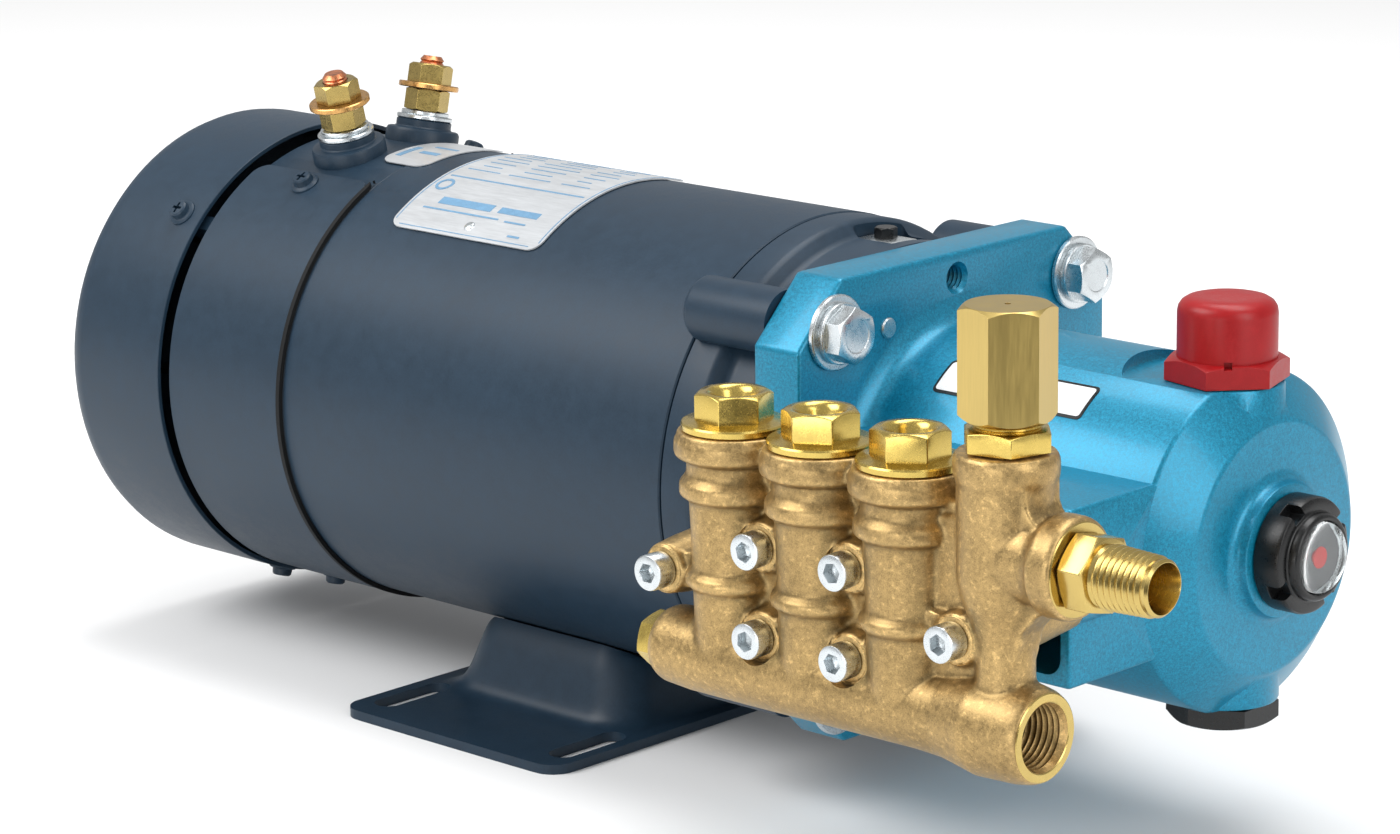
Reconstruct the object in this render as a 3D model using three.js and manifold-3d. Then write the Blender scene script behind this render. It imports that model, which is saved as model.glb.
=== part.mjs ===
// Pressure washer pump: DC motor close-coupled to a three-plunger pump.
// Millimetres, +Z up. The motor and crank axis runs along X, pump end at +X,
// the valve manifold hangs off the -Y side of the crankcase.
// Dimensions are written about that axis with the flange's front face at x = 0;
// placed() moves every piece so that the origin is the bottom centre of the box.
import * as THREE from 'three';
import { mergeVertices } from 'three/addons/utils/BufferGeometryUtils.js';
import Module from 'manifold-3d';

const wasm = await Module();
wasm.setup();

// ---------- driving dimensions ----------
const CENTRE = { x: -76.45, y: -25, z: -88.9 };
const GAP = 0.3;

const MOTOR = { rear: -212, front: -50.3, rOut: 71.8, rIn: 65.4 };
const REAR_BELL = { front: -212.3, rear: -266, wall: -261, rOut: 71.5, rIn: 66 };
const DRIVE_BELL = { rear: -50, step: -38, front: -17.5, rOut: 71.5, rStep: 67, rIn: 64 };
const VENT = { rear: -38, front: -22.2, near: -2.5, far: 20 };
const BAND = { front: -213.5, rear: -265, rOut: 73, rIn: 71.8, from: 25, to: 335 };
const HOOD = { rim: -269, end: -317.2, rOut: 74.4, wall: 1.5, fillet: 6.5 };
const BEARING = { rOut: 20, rIn: 8.9, width: 12 };
const SHAFT = { rear: -294, shoulder: -26, front: -12, r: 8.5, rFront: 7.9 };
const ARMATURE = { rear: -243, front: -66, rCore: 52.5, rWinding: 36, rCommutator: 24, rBore: 8.8 };
const MAGNET = { rear: -178, front: -78, rOut: 64.7, rIn: 53.5, half: 62 };
const BRUSH = { x: -228, wide: 16, tall: 10, rTip: 24.4, length: 24 };
const FAN = { rear: -290, front: -272, rHub: 16, rTip: 60, blades: 8 };

const TERMINAL = { x: -240, tilt: 12.5, rBase: 11.85, rUpper: 8.4, base: 70.5, step: 75.5, top: 78.3 };
const STUD = { r: 3.9, from: 63, to: 99 };
const NUT = { across: 12.4, lowFrom: 81.2, lowTo: 88.3, topFrom: 90.4, topTo: 96.4, washer: 9.7 };

const PLATE = { rIn: 72.1, rOut: 72.6, rear: -191.5, front: -127, from: -18, to: 37.5 };
const FOOT = {
  rear: -180, front: -86, half: 81, bottom: -88.9, thick: 3, corner: 8,
  slotX: [-171, -94.5], slotY: 58.5, slotLong: 29, slotWide: 8.7,
};
const SADDLE = { rear: -172, front: -90, half: 44, topRear: -162, topFront: -98, topHalf: 36, top: -52 };

const FLANGE = { back: -17.2, front: 0, half: 67.2, chamfer: 18, register: 57.5, recess: 4 };
const BOLT = { at: 52.75, head: 14.3, rWasher: 10.8, rShank: 4.6 };
const DRUM = { r: 48, crease: 103.5, face: 113, rFace: 35, boss: 117.3, rBoss: 18.7, rCavity: 41 };
const YOKE = { x0: 0, x1: 104, half: 24.4, rim: -77, wall: 3 };
const GAUGE = { rRing: 16.2, ringFrom: 117.6, ringTo: 126, rLens: 9.8, lensTo: 131, rBore: 10.6 };
const FILLER = {
  x: 96, rBoss: 15.9, bossTop: 44.6, across: 30, hexTop: 51.2, rCap: 13.75, top: 67.7, rPocket: 28.5,
};
const DRAIN = { rBoss: 15.5, bossBottom: -45.2, across: 27, bottom: -51.2 };

const COLUMN_Y = -115;
const COLUMN_X = [20.5, 51.3, 82.2];
const OUTLET_X = 114.1;
const OUTLET_Z = 22.8;
const GALLERY_Z = -23.3;
const SCREWS = [
  [0.3, -0.5], [35.9, 11.7], [35.9, -12.7], [66.8, 11.7], [66.8, -12.7], [102.8, -0.5],
];
const SCREW = { face: -128.5, rHead: 5, head: 6, rShank: 2.9, end: -66, rBoss: 6.8 };
const PORT = { end: 127.1, rOut: 12.1, rBore: 9 };
const NIPPLE = { hexFrom: 138.6, hexTo: 146.5, end: 164.3, across: 19, rRoot: 8.3, rTip: 7.75, rBore: 5.4 };
const CRANK = { throwR: 5, rWeb: 9, width: 9 };
const PLUG = {
  rFlange: 14.3, from: 40.5, to: 42.9, across: 18.5, top: 50.6, rShank: 7.9, end: 24.6,
  faces: [-40, -61, -55],
};
const PLUNGER = { r: 6.4, back: -50, tip: -101, rRod: 7.9 };

const BIG = 32;
const MID = 14;
const SMALL = 8;

// ---------- materials ----------
const paint = (name, color, roughness, metalness) => new THREE.MeshStandardMaterial({
  name, color, roughness, metalness,
});
const SLATE = () => paint('motor_paint', 0x33424f, 0.45, 0.1);
const BLUE = () => paint('hammered_blue_paint', 0x1f8fb4, 0.35, 0.3);
const FORGED = () => paint('forged_brass', 0xb8935a, 0.55, 0.7);
const BRASS = () => paint('bright_brass', 0xd9b84a, 0.25, 0.9);
const ZINC = () => paint('zinc_steel', 0xc4ccd2, 0.3, 0.9);
const STEEL = () => paint('bare_steel', 0x8b9094, 0.4, 0.9);
const BLACK = () => paint('black_plastic', 0x17191b, 0.5, 0);

// ---------- solids ----------
function closed(geometry) {
  const g = geometry.index ? geometry.toNonIndexed() : geometry.clone();
  for (const key of Object.keys(g.attributes)) {
    if (key !== 'position') g.deleteAttribute(key);
  }
  const merged = mergeVertices(g, 1e-4);
  const pos = merged.attributes.position;
  const index = merged.index.array;
  const tris = [];
  let volume = 0;
  const a = new THREE.Vector3();
  const b = new THREE.Vector3();
  const c = new THREE.Vector3();
  for (let i = 0; i < index.length; i += 3) {
    const [p, q, r] = [index[i], index[i + 1], index[i + 2]];
    if (p === q || q === r || p === r) continue;
    tris.push(p, q, r);
    a.fromBufferAttribute(pos, p);
    b.fromBufferAttribute(pos, q);
    c.fromBufferAttribute(pos, r);
    volume += a.dot(b.cross(c));
  }
  if (volume < 0) {
    for (let i = 0; i < tris.length; i += 3) [tris[i], tris[i + 1]] = [tris[i + 1], tris[i]];
  }
  return new wasm.Manifold(new wasm.Mesh({
    numProp: 3,
    vertProperties: new Float32Array(pos.array),
    triVerts: new Uint32Array(tris),
  }));
}

// Turns a Y-up geometry so that its axis points along x, y or z.
function aim(geometry, axis) {
  if (axis === 'x') geometry.rotateZ(-Math.PI / 2);
  if (axis === 'z') geometry.rotateX(Math.PI / 2);
  return geometry;
}

// Solid of revolution: rows of [station, radius] along the axis, centre at c.
function turn(axis, rows, c = [0, 0, 0], segments = BIG) {
  const points = rows.map(([s, r]) => new THREE.Vector2(r, s));
  const loop = rows[0][1] > 0 || rows[rows.length - 1][1] > 0;
  if (loop) points.push(points[0].clone());
  const g = aim(new THREE.LatheGeometry(points, segments), axis);
  return closed(g.translate(c[0], c[1], c[2]));
}

// Round bar between two stations on an axis.
function bar(axis, r, from, to, c = [0, 0, 0], segments = MID) {
  return turn(axis, [[from, 0], [from, r], [to, r], [to, 0]], c, segments);
}

function cone(axis, r0, r1, from, to, c = [0, 0, 0], segments = MID) {
  return turn(axis, [[from, 0], [from, r0], [to, r1], [to, 0]], c, segments);
}

function block(x0, x1, y0, y1, z0, z1) {
  const g = new THREE.BoxGeometry(x1 - x0, y1 - y0, z1 - z0);
  return closed(g.translate((x0 + x1) / 2, (y0 + y1) / 2, (z0 + z1) / 2));
}

// Hexagonal bar. `face` is the angle of one flat in degrees: from +X about z, from +Z towards -Y about x.
function hexBar(axis, across, from, to, c = [0, 0, 0], face = 0) {
  const g = new THREE.CylinderGeometry(across / Math.sqrt(3), across / Math.sqrt(3), to - from, 6);
  g.rotateY((face + (axis === 'z' ? 60 : 30)) * Math.PI / 180);
  g.translate(0, (from + to) / 2, 0);
  return closed(aim(g, axis).translate(c[0], c[1], c[2]));
}

// Hexagon with its outer end chamfered by a cone.
function hexHead(axis, across, from, to, c, face, bevel = 0.8) {
  const r = across / Math.sqrt(3);
  const rows = [[from - 1, 0], [from - 1, r + 0.6], [to - bevel, r + 0.6], [to, across / 2], [to, 0]];
  return hexBar(axis, across, from, to, c, face).intersect(turn(axis, rows, c, 12));
}

function prism(points, depth, segments = 6) {
  const shape = new THREE.Shape(points.map(([x, y]) => new THREE.Vector2(x, y)));
  return new THREE.ExtrudeGeometry(shape, { depth, bevelEnabled: false, curveSegments: segments });
}

// Loft between two rectangles at heights z0 and z1.
function hopper(a, z0, b, z1) {
  const v = [[a[0], a[2], z0], [a[1], a[2], z0], [a[1], a[3], z0], [a[0], a[3], z0],
    [b[0], b[2], z1], [b[1], b[2], z1], [b[1], b[3], z1], [b[0], b[3], z1]];
  const f = [0, 2, 1, 0, 3, 2, 4, 5, 6, 4, 6, 7, 0, 1, 5, 0, 5, 4, 1, 2, 6, 1, 6, 5,
    2, 3, 7, 2, 7, 6, 3, 0, 4, 3, 4, 7];
  const g = new THREE.BufferGeometry();
  g.setAttribute('position', new THREE.Float32BufferAttribute(v.flat(), 3));
  g.setIndex(f);
  return closed(g);
}

function geometryOf(solid) {
  const mesh = solid.getMesh();
  const g = new THREE.BufferGeometry();
  g.setAttribute('position', new THREE.BufferAttribute(new Float32Array(mesh.vertProperties), 3));
  g.setIndex(new THREE.BufferAttribute(new Uint32Array(mesh.triVerts), 1));
  return g;
}

// The same solid turned about the X axis.
function spun(solid, degrees) {
  return closed(geometryOf(solid).rotateX(degrees * Math.PI / 180));
}

function sum(list) {
  return list.reduce((total, next) => total.add(next));
}

function cut(body, tools) {
  return tools.reduce((left, tool) => left.subtract(tool), body);
}

// ---------- group ----------
const group = new THREE.Group();
group.name = 'pressure_washer_pump';

function placed(name, solid, material) {
  const g = geometryOf(solid);
  g.translate(-CENTRE.x, -CENTRE.y, -CENTRE.z);
  g.computeVertexNormals();
  const node = new THREE.Mesh(g, material);
  node.name = name;
  group.add(node);
  return node;
}

// Arc-shaped wall about X; angles in degrees from +Z towards -Y.
function arcWall(rIn, rOut, x0, x1, from, to, segments) {
  const inner = [];
  const outer = [];
  for (let i = 0; i <= segments; i += 1) {
    const t = (from + (to - from) * i / segments) * Math.PI / 180;
    outer.push([-rOut * Math.sin(t), rOut * Math.cos(t)]);
    inner.push([-rIn * Math.sin(t), rIn * Math.cos(t)]);
  }
  const g = prism([...outer, ...inner.reverse()], x1 - x0);
  g.applyMatrix4(new THREE.Matrix4().set(0, 0, 1, x0, 1, 0, 0, 0, 0, 1, 0, 0, 0, 0, 0, 1));
  return closed(g);
}

// ---------- motor ----------
function motorShell() {
  const { rear, front, rOut, rIn } = MOTOR;
  const tube = turn('x', [[rear, rIn], [rear, rOut], [front, rOut], [front, rIn]]);
  placed('motor_shell', tube, SLATE());
}

function rearEndBell() {
  const { front, rear, wall, rOut, rIn } = REAR_BELL;
  const ring = turn('x', [[rear, 0], [rear, rOut - 3], [rear + 3, rOut], [front, rOut], [front, rIn],
    [wall, rIn], [wall, 0]]);
  const hub = bar('x', 25, wall - 0.5, -247, [0, 0, 0], MID);
  const lugs = [46, 134, 226, 314].map((deg) => arcWall(64, 72.4, -283, rear + 1, deg - 6, deg + 6, 3));
  const chutes = [-1, 1].map((s) => block(-238, -218, ...(s < 0 ? [-68, -32] : [32, 68]), -7, 7));
  let body = sum([ring, hub, ...lugs, ...chutes]);
  const slots = [-1, 1].map((s) => block(BRUSH.x - BRUSH.wide / 2 - GAP, BRUSH.x + BRUSH.wide / 2 + GAP,
    ...(s < 0 ? [-75, -30] : [30, 75]), -BRUSH.tall / 2 - GAP, BRUSH.tall / 2 + GAP));
  const bores = [
    bar('x', BEARING.rOut + 0.2, -259.4, -240, [0, 0, 0], MID),
    bar('x', 10, -270, -240, [0, 0, 0], MID),
  ];
  body = cut(body, [...slots, ...bores, ...studBores(6)]);
  placed('rear_end_bell', body, SLATE());
}

function tilted(solid, side) {
  return spun(solid, side * TERMINAL.tilt);
}

function studBores(r) {
  return [-1, 1].map((s) => tilted(bar('z', r, 55, 80, [TERMINAL.x, 0, 0], SMALL), -s));
}

function brushCoverBand() {
  const { front, rear, rOut, rIn, from, to } = BAND;
  placed('brush_cover_band', arcWall(rIn, rOut, rear, front, from, to, 40), SLATE());
}

function rearHood() {
  const { rim, end, rOut, wall, fillet } = HOOD;
  const rows = [[end, 0], [end, rOut - fillet], [end + fillet * 0.29, rOut - fillet * 0.29],
    [end + fillet, rOut], [rim, rOut], [rim, rOut - wall], [end + fillet, rOut - wall],
    [end + wall + 1.4, rOut - wall - 1.4], [end + wall, rOut - fillet], [end + wall, 0]];
  placed('rear_hood', turn('x', rows), SLATE());
}

function driveEndBell() {
  const { rear, step, front, rOut, rStep, rIn } = DRIVE_BELL;
  const profile = [[rear, rIn], [rear, rOut], [step, rOut], [step + 2, rStep], [front, rStep],
    [front, 57.2], [front + 3.4, 57.2], [front + 3.4, 12], [-29.6, 12], [-29.6, BEARING.rOut + 0.2],
    [-42.4, BEARING.rOut + 0.2], [-42.4, 27], [-22, 27], [-22, rIn]];
  let body = turn('x', profile);
  const at = [[1, 1], [-1, 1], [-1, -1], [1, -1]];
  const lugs = at.map(([sy, sz]) => bar('x', 9.6, -49.5, front, [0, sy * BOLT.at, sz * BOLT.at], MID));
  const holes = at.map(([sy, sz]) => bar('x', 5.1, -44, front + 5, [0, sy * BOLT.at, sz * BOLT.at], SMALL));
  body = cut(sum([body, ...lugs]), holes);
  const inside = bar('x', rIn, -49.9, -22.2, [0, 0, 0], BIG);
  const hubKeep = bar('x', 27, -42.4, -22.2, [0, 0, 0], MID);
  body = cut(body, [inside.subtract(hubKeep)]);
  body = cut(body, [block(VENT.rear, VENT.front, VENT.near, VENT.far, 48, 75)]);
  placed('drive_end_bell', body, SLATE());
}

function motorFoot() {
  const { rear, front, half, bottom, thick, corner, slotX, slotY, slotLong, slotWide } = FOOT;
  const c = corner * 0.29;
  const outline = [[rear + corner, -half], [front - corner, -half], [front - c, -half + c],
    [front, -half + corner], [front, half - corner], [front - c, half - c], [front - corner, half],
    [rear + corner, half], [rear + c, half - c], [rear, half - corner], [rear, -half + corner],
    [rear + c, -half + c]];
  const plate = closed(prism(outline, thick).translate(0, 0, bottom));
  const s = SADDLE;
  const z0 = bottom + thick - 0.4;
  const crown = [s.topRear, s.topFront, -s.topHalf, s.topHalf];
  const outer = hopper([s.rear, s.front, -s.half, s.half], z0, crown, s.top);
  const t = 3.2;
  const inner = hopper([s.rear + t, s.front - t, -s.half + t, s.half - t], bottom - 1,
    [s.topRear + t, s.topFront - t, -s.topHalf + t, s.topHalf - t], s.top + 2);
  const tube = bar('x', MOTOR.rOut + GAP, -230, -40, [0, 0, 0], BIG);
  const slots = [];
  for (const x of slotX) {
    for (const y of [-slotY, slotY]) {
      const run = slotLong / 2 - slotWide / 2;
      slots.push(block(x - slotWide / 2, x + slotWide / 2, y - run, y + run, bottom - 1, bottom + 5));
      slots.push(bar('z', slotWide / 2, bottom - 1, bottom + 5, [x, y - run, 0], SMALL));
      slots.push(bar('z', slotWide / 2, bottom - 1, bottom + 5, [x, y + run, 0], SMALL));
    }
  }
  const body = cut(sum([plate, outer]), [inner, tube, ...slots]);
  placed('motor_foot', body, SLATE());
}

function nameplate() {
  const { rIn, rOut, rear, front, from, to } = PLATE;
  const plate = arcWall(rIn, rOut, rear, front, from, to, 10);
  placed('nameplate', plate, paint('aluminium_plate', 0xd5d9dc, 0.35, 0.8));
}

function shaftAndArmature() {
  const { rear, shoulder, front, r, rFront } = SHAFT;
  placed('motor_shaft', turn('x', [[rear, 0], [rear, r], [shoulder, r], [shoulder, rFront],
    [front, rFront], [front, 0]], [0, 0, 0], 20), STEEL());
  const a = ARMATURE;
  const rows = [[a.rear, a.rBore], [a.rear, a.rCommutator], [-203, a.rCommutator], [-203, 18],
    [-198, 18], [-196, a.rWinding], [-178, a.rWinding], [-178, a.rCore], [-78, a.rCore],
    [-78, a.rWinding], [-68, a.rWinding], [a.front, a.rWinding - 4], [a.front, a.rBore]];
  placed('armature', turn('x', rows, [0, 0, 0], 24), paint('armature_steel', 0x6a5a4c, 0.6, 0.6));
}

function magnets() {
  const { rear, front, rOut, rIn, half } = MAGNET;
  const ferrite = () => paint('ferrite', 0x2b2b2d, 0.7, 0.1);
  placed('magnet_upper', arcWall(rIn, rOut, rear, front, -half, half, 12), ferrite());
  placed('magnet_lower', arcWall(rIn, rOut, rear, front, 180 - half, 180 + half, 12), ferrite());
}

function brushes() {
  const { x, wide, tall, rTip, length } = BRUSH;
  const carbon = () => paint('carbon', 0x202224, 0.8, 0);
  for (const [name, s] of [['brush_near', -1], ['brush_far', 1]]) {
    const ys = s < 0 ? [-rTip - length, -rTip] : [rTip, rTip + length];
    placed(name, block(x - wide / 2, x + wide / 2, ys[0], ys[1], -tall / 2, tall / 2), carbon());
  }
}

function bearings() {
  for (const [name, x0] of [['rear_bearing', -259], ['drive_bearing', -42]]) {
    const { rIn, rOut, width } = BEARING;
    const ring = turn('x', [[x0, rIn], [x0, rOut], [x0 + width, rOut], [x0 + width, rIn]],
      [0, 0, 0], MID);
    placed(name, ring, STEEL());
  }
}

function coolingFan() {
  const { rear, front, rHub, rTip, blades } = FAN;
  const hub = turn('x', [[rear, 8.8], [rear, rHub], [front, rHub], [front, 8.8]], [0, 0, 0], 12);
  const disc = turn('x', [[front - 1.6, 12], [front - 1.6, rTip], [front, rTip], [front, 12]],
    [0, 0, 0], 20);
  const vanes = [];
  for (let i = 0; i < blades; i += 1) {
    const vane = block(rear, front - 0.4, -0.9, 0.9, rHub - 1.5, rTip - 1);
    vanes.push(spun(vane, i * 360 / blades));
  }
  placed('cooling_fan', sum([hub, disc, ...vanes]), paint('fan_plastic', 0x2b3036, 0.6, 0));
}

function terminals() {
  const t = TERMINAL;
  const seat = bar('x', BAND.rIn, -262, -215, [0, 0, 0], BIG);
  for (const [name, s] of [['near', -1], ['far', 1]]) {
    const at = [t.x, 0, 0];
    const stack = turn('z', [[t.base - 3, 4.2], [t.base - 3, t.rBase], [t.step, t.rBase],
      [t.step, t.rUpper], [t.top, t.rUpper], [t.top, 4.2]], at, 16);
    const insulator = tilted(stack, -s).subtract(seat);
    placed(`terminal_insulator_${name}`, insulator, BLACK());
    const stud = turn('z', [[STUD.from, 0], [STUD.from, STUD.r], [STUD.to - 1, STUD.r],
      [STUD.to, STUD.r - 1], [STUD.to, 0]], at, SMALL);
    placed(`terminal_stud_${name}`, tilted(stud, -s), paint('copper', 0xb8663f, 0.35, 0.9));
    const hole = bar('z', 4.2, 60, 110, at, SMALL);
    const washer = bar('z', NUT.washer, NUT.lowTo + GAP - 0.3, NUT.lowTo + 1.8, at, 14);
    const zinc = bar('z', 8.2, t.top + GAP, NUT.lowFrom, at, 14);
    const low = sum([hexBar('z', NUT.across, NUT.lowFrom - 0.2, NUT.lowTo, at, 20), washer, zinc]);
    placed(`terminal_lower_nut_${name}`, tilted(low.subtract(hole), -s), BRASS());
    const top = hexHead('z', NUT.across, NUT.topFrom, NUT.topTo, at, 20).subtract(hole);
    placed(`terminal_upper_nut_${name}`, tilted(top, -s), BRASS());
  }
}

// ---------- pump body ----------
function screwPillars() {
  const inner = SCREWS.slice(1, 5).map(([x, z]) => bar('y', 6, YOKE.rim, -43, [x, 0, z], SMALL));
  const outer = [SCREWS[0], SCREWS[5]].map(([x, z]) => bar('y', 6.4, YOKE.rim, -58, [x, 0, z], SMALL));
  return [...inner, ...outer];
}

function crankcase() {
  const f = FLANGE;
  const h = f.half;
  const k = f.half - f.chamfer;
  const plateGeo = prism([[-k, -h], [k, -h], [h, -k], [h, k], [k, h], [-k, h], [-h, k], [-h, -k]],
    f.front - f.back);
  plateGeo.applyMatrix4(new THREE.Matrix4().set(0, 0, 1, f.back, 1, 0, 0, 0, 0, 1, 0, 0, 0, 0, 0, 1));
  const d = DRUM;
  const drum = turn('x', [[-1, 0], [-1, 53], [1, 53], [5, d.r], [d.crease, d.r], [d.face, d.rFace],
    [d.face, d.rBoss], [d.boss, d.rBoss], [d.boss, 0]]);
  const y = YOKE;
  const box = block(y.x0 - 1, y.x1, y.rim, -20, -y.half, y.half);
  const w = y.wall;
  const opening = block(y.x0 + w, y.x1 - w, y.rim - 1, -30, -y.half + w, y.half - w);
  const shell = box.subtract(opening.subtract(bar('x', d.r, -2, 110, [0, 0, 0], BIG)));
  const filler = bar('z', FILLER.rBoss, 20, FILLER.bossTop, [FILLER.x, 0, 0], MID);
  const pocket = bar('z', FILLER.rPocket, FILLER.bossTop, 70, [FILLER.x, 0, 0], MID);
  const drain = bar('z', DRAIN.rBoss, DRAIN.bossBottom, -20, [FILLER.x, 0, 0], MID);
  const spotFace = bar('z', DRAIN.rBoss + 3, -70, DRAIN.bossBottom, [FILLER.x, 0, 0], MID);
  let body = sum([closed(plateGeo), drum, shell, ...screwPillars()]);
  body = cut(body, [pocket, spotFace]).add(filler).add(drain);
  const at = [[1, 1], [-1, 1], [-1, -1], [1, -1]];
  const tools = [
    bar('x', d.rCavity, 4, 105, [0, 0, 0], BIG),
    bar('x', f.register, f.back - 1, f.back + f.recess, [0, 0, 0], BIG),
    bar('x', 13, f.back - 1, 5, [0, 0, 0], MID),
    bar('x', GAUGE.rBore, 100, d.boss + 1, [0, 0, 0], MID),
    bar('z', 9.6, 30, 80, [FILLER.x, 0, 0], SMALL),
    bar('z', 7.6, -80, -30, [FILLER.x, 0, 0], SMALL),
    bar('x', 4, f.back - 1, 2, [0, 0, 59.5], SMALL),
    ...at.map(([sy, sz]) => bar('x', 5.1, f.back - 1, 2, [0, sy * BOLT.at, sz * BOLT.at], SMALL)),
    ...COLUMN_X.map((x) => bar('y', PLUNGER.rRod + 0.4, -60, -30, [x, 0, 0], MID)),
    ...SCREWS.map(([x, z]) => bar('y', 3.2, YOKE.rim - 1, SCREW.end + 2, [x, 0, z], SMALL)),
  ];
  body = cut(body, tools);
  placed('crankcase', body, BLUE());
}

function gauge() {
  const g = GAUGE;
  const ring = turn('x', [[g.ringFrom, g.rLens + 0.4], [g.ringFrom, g.rRing], [g.ringTo - 1, g.rRing],
    [g.ringTo, g.rRing - 1], [g.ringTo, g.rLens + 0.4]], [0, 0, 0], 24);
  const bite = block(g.ringTo - 4, g.ringTo + 1, -2.3, 2.3, 13, 18);
  const notches = [30, 120, 210, 300].map((degrees) => spun(bite, degrees));
  placed('sight_gauge_ring', cut(ring, notches), BLACK());
  const lens = turn('x', [[108, 0], [108, g.rLens], [g.ringTo + 2, g.rLens], [g.lensTo - 1, 8],
    [g.lensTo, 4], [g.lensTo, 0]], [0, 0, 0], 24);
  placed('sight_gauge_lens', lens, paint('clear_lens', 0xa9b1b4, 0.1, 0));
}

function fillerAndDrain() {
  const f = FILLER;
  const at = [f.x, 0, 0];
  const base = hexBar('z', f.across, f.bossTop + GAP, f.hexTop, at, -42);
  const dome = turn('z', [[f.bossTop + 1, 0], [f.bossTop + 1, f.rCap], [f.top - 4, f.rCap],
    [f.top - 1.2, f.rCap - 1.2], [f.top, f.rCap - 4], [f.top, 0]], at, 20);
  const stem = bar('z', 9.2, 36, f.bossTop + 2, at, SMALL);
  placed('oil_filler_cap', sum([base, dome, stem]), paint('red_plastic', 0xc9202b, 0.35, 0));
  const head = hexBar('z', DRAIN.across, DRAIN.bottom, DRAIN.bossBottom - GAP, at, -60);
  const plug = bar('z', 7.2, DRAIN.bossBottom - 2, -40, at, SMALL);
  placed('oil_drain_plug', sum([head, plug]), BLACK());
}

function flangeBolts() {
  const spots = [['upper_near', -1, 1], ['upper_far', 1, 1], ['lower_near', -1, -1], ['lower_far', 1, -1]];
  for (const [name, sy, sz] of spots) {
    const at = [0, sy * BOLT.at, sz * BOLT.at];
    const washer = bar('x', BOLT.rWasher, GAP, 2.4, at, 16);
    const head = hexHead('x', BOLT.head, 2.2, 9, at, 30);
    const shank = bar('x', BOLT.rShank, -40, 1, at, SMALL);
    placed(`flange_bolt_${name}`, sum([washer, head, shank]), ZINC());
  }
}

function runningGear() {
  const { throwR, rWeb, width } = CRANK;
  const main = turn('x', [[-11.6, 0], [-11.6, 12.2], [8, 12.2], [8, 6], [98, 6], [98, 0]], [0, 0, 0], 16);
  const throws = COLUMN_X.map((x, i) => {
    const t = (90 + 120 * i) * Math.PI / 180;
    return bar('x', rWeb, x - width / 2, x + width / 2, [0, throwR * Math.cos(t), throwR * Math.sin(t)], 14);
  });
  placed('crankshaft', sum([main, ...throws]), STEEL());
  COLUMN_X.forEach((x, i) => {
    const n = i + 1;
    const eye = turn('x', [[x - 4.2, 19.6], [x - 4.2, 23.4], [x + 4.2, 23.4], [x + 4.2, 19.6]],
      [0, 0, 0], 24);
    const stem = bar('y', PLUNGER.rRod, PLUNGER.back + GAP, -21.5, [x, 0, 0], MID);
    const clear = bar('x', 19.6, x - 20, x + 20, [0, 0, 0], 24);
    placed(`connecting_rod_${n}`, sum([eye, stem]).subtract(clear), STEEL());
    const rod = bar('y', PLUNGER.r, PLUNGER.tip, PLUNGER.back, [x, 0, 0], MID);
    placed(`ceramic_plunger_${n}`, rod, paint('ceramic', 0xece8df, 0.3, 0));
  });
}

// ---------- manifold ----------
function columnBody(x) {
  return turn('z', [[-30, 0], [-30, 10.8], [-3, 11.5], [-2, 13.1], [1.2, 13.1], [3, 11.8], [21, 12.5],
    [22.7, 14.6], [26, 14.6], [27.8, 13.4], [32, 13.4], [34, 15.9], [40.2, 15.2], [40.2, 0]],
  [x, COLUMN_Y, 0], MID);
}

function outletColumn() {
  const at = [OUTLET_X, COLUMN_Y, 0];
  const post = turn('z', [[-28, 0], [-28, 8.5], [-12, 7.4], [2, 7.4], [8, 10.5], [14, 12.7],
    [42, 12.7], [44.5, 13.5], [48.6, 13.5], [49.9, 12.4], [49.9, 0]], at, MID);
  const arm = turn('x', [[OUTLET_X, 0], [OUTLET_X, 12.4], [128, 11.6], [131, 13.4], [136.6, 13.4],
    [138.3, 12], [138.3, 0]], [0, COLUMN_Y, OUTLET_Z], MID);
  const brace = hopper([OUTLET_X - 6, OUTLET_X + 6, COLUMN_Y - 6, COLUMN_Y + 6], 0,
    [OUTLET_X - 6, OUTLET_X + 20, COLUMN_Y - 6, COLUMN_Y + 6], OUTLET_Z - 4);
  return sum([post, arm, brace]);
}

function inletGallery() {
  const c = [0, COLUMN_Y, GALLERY_Z];
  return turn('x', [[-4.5, 0], [-4.5, 9], [-3, 10.6], [8, 11.2], [88, 9.8], [98, 10.4], [108, 13.6],
    [122, 13.2], [126.2, PORT.rOut], [PORT.end, PORT.rOut - 0.4], [PORT.end, 0]], c, MID);
}

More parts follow.
